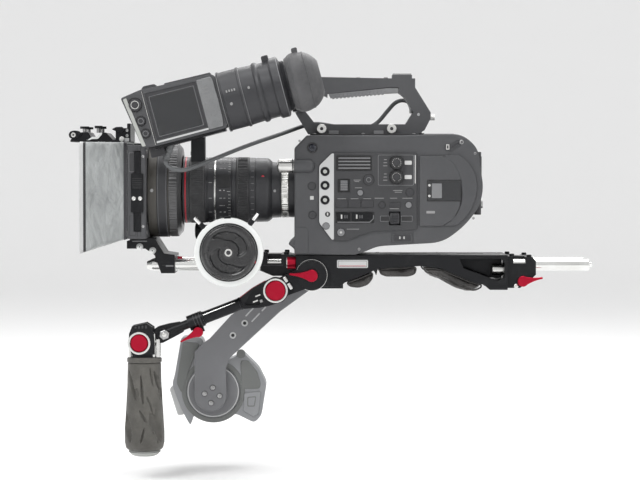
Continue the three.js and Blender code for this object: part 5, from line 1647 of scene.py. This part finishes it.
    x0, x1, y0, y1, z0, z1 = box_of("matte_bracket")
    bracket = Piece("matte_rod_bracket", "anodised_black", "matte_bracket").add("black",
        cad("matte_bracket", 0.9))
    bracket.plate("slat", (-255, -235.6, 60.9, 62.5), y0 - 0.5, y0 + 0.3, ease=0.5, edge=0.3)
    for x in (-245.2, -228.4):
        bracket.add("white", lathe("y", [(y0 + 1, 0), (y0 + 1, 4.4), (y0 - 0.8, 4.4), (y0 - 4.8, 2.4),
            (y0 - 5.2, 1.6), (y0 - 5.2, 0)], (x, 54.6 if x < -240 else 49.6), 36))
        bracket.add("dark", disc("y", (x, 54.6 if x < -240 else 49.6), y0 - 5.3, y0 - 4.8, 0.9, 20))
    bracket.plate("slat", (-211.4, -201.4, 28.6, 30.6), y0 - 0.4, y0 + 0.3, ease=0.5, edge=0.2)
    bracket.plate("edge_dark", (-216, -199.9, 30.1, 30.8), y0 - 0.15, y0 + 0.3, edge=0.05)
    for y in (-16, 16):
        bracket.add("screw", bolt("x", (y, 38), x1 - 0.2, 3.2, 2.2))
    bracket.add("red", knob("x", (0, 34), x1 - 0.5, x1 + 7.5, 6.4, 30, 0.4))
    bracket.done(40)

    x0, x1, y0, y1, z0, z1 = box_of("flag_bracket")
    flag = Piece("flag_mount", "anodised_black", "flag_bracket").add("black", cad("flag_bracket", 1.0))
    near = y0
    head = [(-336.4, 196), (-338, 200), (-336, 204.6), (-330, 206), (-324, 205), (-320.6, 200.6),
        (-324, 198), (-329, 194)]
    flag.add("black", prism(head, near - 3.6, near + 5, ease=2.5, edge=1, segments=3))
    flag.add("silver", knob("y", (-331.4, 200), near - 5.4, near - 3.4, 3.1, 0))
    flag.add("edge_dark", disc("y", (-331.4, 200), near - 5.5, near - 5, 1.3, 20))
    for x, wide, low, high in ((-318, 6, 208.2, 211.2), (-299.8, 5.2, 208.8, 212)):
        flag.add("black", knob("z", (x, near + 8), low, high, wide, 26, 0.4))
        flag.add("screw", disc("z", (x, near + 8), 203, 209, 2.6, 24))
        flag.add("black", knob("z", (x, -near - 8), low, high, wide, 26, 0.4))
        flag.add("screw", disc("z", (x, -near - 8), 203, 209, 2.6, 24))
    strap = [(-316.4, 193.4), (-313.4, 193.4), (-307.6, 197.6), (-301, 197.6), (-297.4, 202.4),
        (-294.4, 203.4), (-294.8, 200.4), (-300, 194.8), (-308, 194.6), (-311, 193.2)]
    flag.add("white", prism(strap, near - 0.9, near + 0.2, ease=1, edge=0.4))
    spike = [(-282, 207.4), (-276, 204.6), (-268, 204), (-266.4, 207), (-268, 210.6), (-276, 210.4)]
    flag.add("black", prism(spike, near - 2.6, near + 8, ease=1.2, edge=0.8))
    flag.add("silver", knob("y", (-268.6, 194.6), near - 3, near + 1, 3.4, 20, 0.3))
    flag.plate("pale", (-265.8, -259.2, 191.6, 196), near - 0.8, near + 0.3, ease=0.8, edge=0.3)
    for z in (199, 206):
        flag.add("screw", bolt("y", (-262, z), near + 0.2, 1.9, -0.9))
    for x in (-330, -266):
        flag.add("screw", bolt("y", (x, 197), y1 - 0.2, 2.4, 1.2))
    flag.done(40)


make_matte_box()

# ------------------------------------------------------------------ viewfinder

TILT = math.radians(14.8)
FINDER = turned_to((-134.7, -104, 240.2), (math.cos(TILT), 0, math.sin(TILT)))


def make_viewfinder():
    """The viewfinder with its loupe, eyecup, bracket and lead sleeve."""
    body = Piece("finder_case", "camera_shell", "evf_body")
    face = -22
    case = [(-122, 37), (-111, -30.3), (-93, -32.6), (-3, -33), (-0.3, -30), (-0.3, 35), (-5.5, 37.5),
        (-96, 41)]
    well = prism([(-91.4, -25.6), (-25.4, -25.6), (-25.4, 33.4), (-91.4, 35)], face - 1, face + 2.4,
        ease=1.5, edge=0)
    body.add("shell", carve(prism(case, face, 22, ease=2.5, edge=1.6, segments=3), well), turn=FINDER)
    # The grey metal band beside the screen is a painted reflection on the dark chamfer.
    details = [("cap", prism([(-119.6, 34.6), (-115, 35.4), (-106.4, -29.4), (-111.2, -28.8)],
        face - 0.8, face + 1, ease=1.4, edge=0.5)), ("edge_dark", prism(rect(-94.2, -92.8, -31, 38.6),
        face - 0.2, face + 0.5, edge=0.1)), ("silver", prism([(-94.6, -31), (-93.9, -31), (-93.9,
        38.6), (-94.6, 38.8)], face - 0.9, face + 0.3, edge=0.2)), ("dark", prism([(-91.2, -25.4),
        (-25.6, -25.4), (-25.6, 33.2), (-91.2, 34.8)], face + 0.9, face + 2.8, ease=1.5, edge=0.2)),
        ("screen", prism([(-86.8, -21.8), (-29.6, -21.8), (-29.6, 28.6), (-86.8, 29.4)], face + 0.2,
        face + 1.2, ease=1.2, edge=0.3)), ("slat", rim(eased([(-87.4, -22.4), (-29, -22.4), (-29,
        29.2), (-87.4, 30)], 1.2, True), eased([(-86.8, -21.8), (-29.6, -21.8), (-29.6, 28.6), (-86.8,
        29.4)], 1.1, True), face + 0.5, face + 1.1, edge=0.05)), ("painted_highlight_metal", prism([(-24.2, -29.6),
        (-5.2, -29.6), (-3.6, -20), (-3, 4), (-3.8, 30), (-5.4, 34.6), (-24.2, 34.6)], face - 1.5,
        face + 1, ease=2.4, edge=1.1, segments=3)), ("pale", prism(rect(-92, -24.4, -29.4, -27.2),
        face - 0.8, face + 0.6, ease=0.5, edge=0.3)), ("black", prism(rect(-95.4, -4, -36.4, -32.6),
        -20, 20, ease=0.8, edge=0.6)), ("shell", prism([(-66, 37.6), (-4.6, 36.2), (-4.8, 40), (-64,
        41.4)], -18, 18, ease=1, edge=0.7)), ("shell", prism([(-96, 39.6), (-74, 38.6), (-76, 44.2),
        (-92, 45)], -12, 12, ease=3, edge=1.1, segments=3)), ("dark", prism([(-104.6, -45.4), (-85.4,
        -45.4), (-86, -31), (-104, -31)], -7.4, 7.4, ease=0.8, edge=0.8)),]
    for u, w, r in ((-106.4, 24.2, 8.6), (-104.4, 2.6, 6.0), (-102.6, -14, 5.7)):
        details.append(("edge_dark", ring_of("y", (u, w), face - 0.4, face + 0.3, r - 0.4, r + 0.7, 48,
            0.2)))
        details.append(("dark", knob("y", (u, w), face - 3.4, face + 0.3, r * 0.9, 0)))
        details.append(("silver" if r > 8 else "slat", ring_of("y", (u, w), face - 3.7, face - 3.1,
            r * 0.5, r * 0.62, 40, 0.15)))
    for i in range(4):
        details.append(("mark_grey", prism(rect(-22, -12, 8 + 4.6 * i, 8.8 + 4.6 * i), face - 1.62,
            face - 1.3, edge=0)))
    for u in (-84, -18):
        details.append(("screw", bolt("z", (u, 14), 41 if u < -50 else 39.8, 1.8, 1.0, 20)))
    for u, w in ((-110, 28), (-110, -22), (-12, 28), (-12, -24)):
        details.append(("screw", bolt("y", (u, w), 21.8, 1.9, 1.0, 20)))
    details.append(("panel", prism(rect(-92, -26, -22, 30), 21, 23, ease=4, edge=0.6)))
    details.append(("edge_dark", prism([(-116.4, 28), (-115.4, 28), (-109.2, -22), (-110.2, -22)], -15,
        15, ease=0.3, edge=0.2)))
    for material, part in details:
        body.add(material, part, turn=FINDER)
    body.done(36)

    barrel = Piece("finder_barrel", "lens_black", "evf_loupe")
    outer = [(0, 0), (0, 36.6), (1.2, 37.6), (2.4, 38.7), (3.4, 38.7), (4, 37.6), (25.8, 37.6), (26.4,
        38.6), (29, 38.6), (29.8, 37.4), (46.4, 36.4), (47.4, 37.6), (49, 38.6), (52, 38.6), (54,
        37.2), (55, 36.2), (67.4, 36.2), (68.6, 38), (70, 39), (79, 39), (80.6, 37.4), (82, 33.4),
        (83.4, 31.4), (84.2, 32.6), (85, 31.2), (86, 32.4), (87, 31), (88, 31.4), (88.2, 30), (88.2,
        24), (60, 24), (58, 0)]
    barrel.add("lens", lathe("x", outer, (0, 0), 120, lambda a, x,
        r: r - (0.5 if 55.4 < x < 67 and r > 30 and math.cos(60 * a) < 0 else 0)), turn=FINDER)
    barrel.add("slat", ring_of("x", (0, 0), 0.6, 1.4, 36, 38.9, 120, 0.2), ring_of("x", (0, 0), 28.9,
        29.5, 36, 38.7, 120, 0.2), ring_of("x", (0, 0), 78.6, 79.4, 36, 39.2, 120, 0.2), turn=FINDER)
    barrel.add("glass", lathe("x", [(57.6, 0), (62, 0), (61.4, 12), (59, 22), (57.6, 23.8)], (0, 0),
        64), turn=FINDER)
    barrel.add("dark", prism([(61.6, 35), (70.4, 35), (70.8, 42.6), (69.6, 43.6), (63, 43.4), (61.8,
        42)], -7, 7, ease=1, edge=0.9), turn=FINDER)
    barrel.add("screw", bolt("y", (12, -6), -37.6, 1.9, -0.8, 20), bolt("y", (38, 8), -36.4, 1.6, -0.8,
        20), turn=FINDER)
    barrel.add("mark_grey", *[prism(rect(9 + 3.4 * i, 10.8 + 3.4 * i, 9, 12), -37.3, -35,
        edge=0) for i in range(4)], turn=FINDER)
    barrel.done(32)

    cup = Piece("finder_eyecup", "eyecup_rubber", "evf_eyecup")
    line = [(88.4, 24), (88.4, 32.4), (89.2, 33.6), (92.4, 35.2), (96, 37.6), (101, 38.6), (106, 38.2),
        (112, 36.6), (118, 34), (123, 29.8), (127, 25), (129.4, 21), (129.8, 19.2), (128.8, 18.2),
        (127, 18.2), (120, 20), (112, 22), (100, 23.4), (88.4, 24)]
    cup.add("eyecup", lathe("x", line, (0, 0), 96, None, 1.2), turn=FINDER)
    cup.add("eyecup", prism([(101, 36), (108.4, 36), (109, 42.4), (107.6, 43.6), (102.4, 43.4), (101.2,
        42)], -8, 8, ease=1.2, edge=1.2, segments=3), turn=FINDER)
    for x, r in ((93.4, 36.2), (112.6, 36.6)):
        cup.add("eyecup", ring_of("x", (0, 0), x, x + 1.2, r - 2, r + 0.4, 96, 0.5), turn=FINDER)
    cup.done(60)

    arm = Piece("finder_bracket", "anodised_black", "evf_arm").add("black", cad("evf_arm", 1.0, 30, 3))
    x0, x1, y0, y1, z0, z1 = box_of("evf_arm")
    for z in (176, 196, 216):
        arm.add("screw", bolt("x", (-70, z), x0 + 0.2, 2.6, -1.3))
    arm.add("black", knob("z", (-167, -52), 245.6, 253, 6.6, 28, 0.4))
    arm.add("silver", ring_of("x", (-52, 238), -158.4, -156.6, 5.6, 7.2, 48, 0.3))
    arm.add("silver", ring_of("x", (-52, 238), -48.4, -46.6, 5.6, 7.2, 48, 0.3))
    arm.add("screw", bolt("y", (-39, 238), y0 + 21.8, 2.4, -1.2))
    arm.done()

    ends = [Vector((-196.5, -104, 200.4)), Vector((-203.6, -104, 178)), Vector((-206.6, -104, 168.5)),
        Vector((-207.1, -104, 166.4))]
    spine = smooth_line([tuple(p) for p in ends], 12)
    relief = Piece("lead_sleeve", "cable_jacket", body="viewfinder")

    def width(share):
        step = 0.55 if int(share * 22) % 2 else 0
        return 6.4 - 2.8 * share - step

    relief.add("cable", tube(spine, width, 24))
    relief.done(50)


make_viewfinder()

# ------------------------------------------------------------------ remote grip


def make_remote():
    """The remote grip and its arm."""
    x0, x1, y0, y1, z0, z1 = box_of("remote_arm")
    arm = Piece("remote_bracket", "anodised_black", "remote_arm").add("arm_grey", cad("remote_arm",
        1.4, 24, 3))
    spine = Vector((-0.69, 0, -0.724))
    for x, z in ((-111.9, -51.6), (-127.8, -68.1)):
        arm.add("pale", ring_of("y", (x, z), y0 - 1.3, y0 + 0.5, 2.3, 4.4, 40, 0.5))
        arm.add("edge_dark", disc("y", (x, z), y0 - 0.3, y0 + 0.4, 2.4, 24))
        arm.add("screw", bolt("y", (x, z), y1 - 0.2, 3.2, 1.6))
    place = turned_to((-97, 0, -36), spine)
    # The slots are drawn as pale strips: painted highlights in the slots.
    for w in (-5.5, 5.5):
        for u in (-14, -2, 6):
            slot = prism(rect(u, u + 8, w - 0.9, w + 0.9), y0 - 0.35, y0 + 0.3, ease=0.8, edge=0.2)
            arm.add("pale", slot, turn=place)
    for x, z in ((-155, -138.8), (-166, -146.9), (-145.7, -149.8), (-157.3, -159.4)):
        arm.add("screw", bolt("y", (x, z), y0 + 0.3, 3.3, -1.8, 32))
        arm.add("edge_dark", ring_of("y", (x, z), y0 - 0.25, y0 + 0.3, 3.4, 4.0, 32, 0.1))
    arm.done()

    x0, x1, y0, y1, z0, z1 = box_of("remote_grip")
    grip = Piece("remote_handle", "dark_plastic", "remote_grip")
    shell = [(-198.3, -71.8), (-207.5, -123.9), (-210.9, -134.8), (-205.9, -151.1), (-196.4, -174.1),
        (-186.1, -192.8), (-182.4, -178), (-158.4, -184), (-124.5, -176), (-99.4, -188.4), (-89.9,
        -178.2), (-83.1, -134.8), (-94, -113.1), (-115, -92.7), (-129.9, -100.9), (-157, -106),
        (-170.6, -72.4)]
    grip.add("remote", prism(shell, y0 + 6, y1, ease=5, edge=3, segments=4))
    hub = (-155, -145)
    grip.add("arm_grey", lathe("y", [(y0 + 0.2, 0), (y0 + 0.2, 31), (y0 + 1, 33.6), (y0 + 3, 35.2),
        (y0 + 8, 35.7), (y0 + 8, 0)], hub, 120, ease=0.8))
    grip.add("pale", ring_of("y", hub, y0 + 0.6, y0 + 2.4, 33.2, 34.8, 120, 0.4))
    grip.add("remote_dark", ring_of("y", hub, y0 + 5.2, y0 + 8, 36.2, 43, 120, 0.8))
    wing = [(-118, -104), (-108, -103), (-96, -118), (-91, -134), (-92.6, -142), (-117, -142)]
    grip.add("remote_dark", prism(wing, y0 + 4.6, y0 + 8, ease=3, edge=1))
    grip.add("remote", prism([(-113, -148), (-91, -145), (-94, -174), (-100, -180), (-114, -172)],
        y0 + 3.8, y0 + 8, ease=2, edge=1.2, segments=3))
    grip.add("remote_dark", rim(eased([(-109, -153), (-97, -152), (-99, -166), (-109, -166)], 1.5,
        True), eased([(-107.8, -154.2), (-98.2, -153.2), (-100, -164.8), (-107.8, -164.8)], 1.3, True),
        y0 + 3.5, y0 + 4.4, edge=0.1))
    grip.add("remote_dark", prism([(-196, -78), (-203, -122), (-205, -134), (-198, -148), (-193, -132),
        (-186, -112), (-181, -98), (-174, -80)], y0 + 4.8, y0 + 8, ease=4, edge=1.2, segments=3))
    flap = [(-208, -137), (-213.6, -141), (-214.6, -144), (-206, -172), (-203.6, -179), (-196, -178),
        (-194, -172)]
    grip.add("pale", prism(flap, y0 + 12, y1 - 12, ease=2, edge=1, segments=3))
    grip.add("remote_dark", knob("y", (-117.5, -94.5), y0 + 2, y0 + 8, 6, 14, 0.8))
    grip.add("grip", prism([(-197, -76), (-204, -122), (-206, -135), (-202, -150), (-194, -170), (-188,
        -170), (-190, -150), (-190, -120), (-181, -78)], y1 - 1.5, y1 + 1.8, ease=5, edge=1.2,
        segments=3))
    grip.add("cap", knob("y", (-108, -135), y1 - 1, y1 + 5, 8, 30, 0.5))
    grip.add("red", knob("y", (-117, -112), y1 - 1, y1 + 3, 4.6, 0))
    grip.add("pale", ring_of("y", (-155, -140), y1 - 0.6, y1 + 1.2, 17, 19, 96, 0.5))
    grip.add("panel", lathe("y", [(y1 - 0.6, 0), (y1 - 0.6, 17), (y1 + 0.6, 17), (y1 + 0.9, 15),
        (y1 + 0.9, 0)], (-155, -140), 80, ease=0.4))
    for a in (30, 150, 270):
        grip.add("screw", bolt("y", (-155 + 12 * math.cos(math.radians(a)),
            -140 + 12 * math.sin(math.radians(a))), y1 + 0.8, 1.9, 0.9, 20))
    grip.done(50)


make_remote()
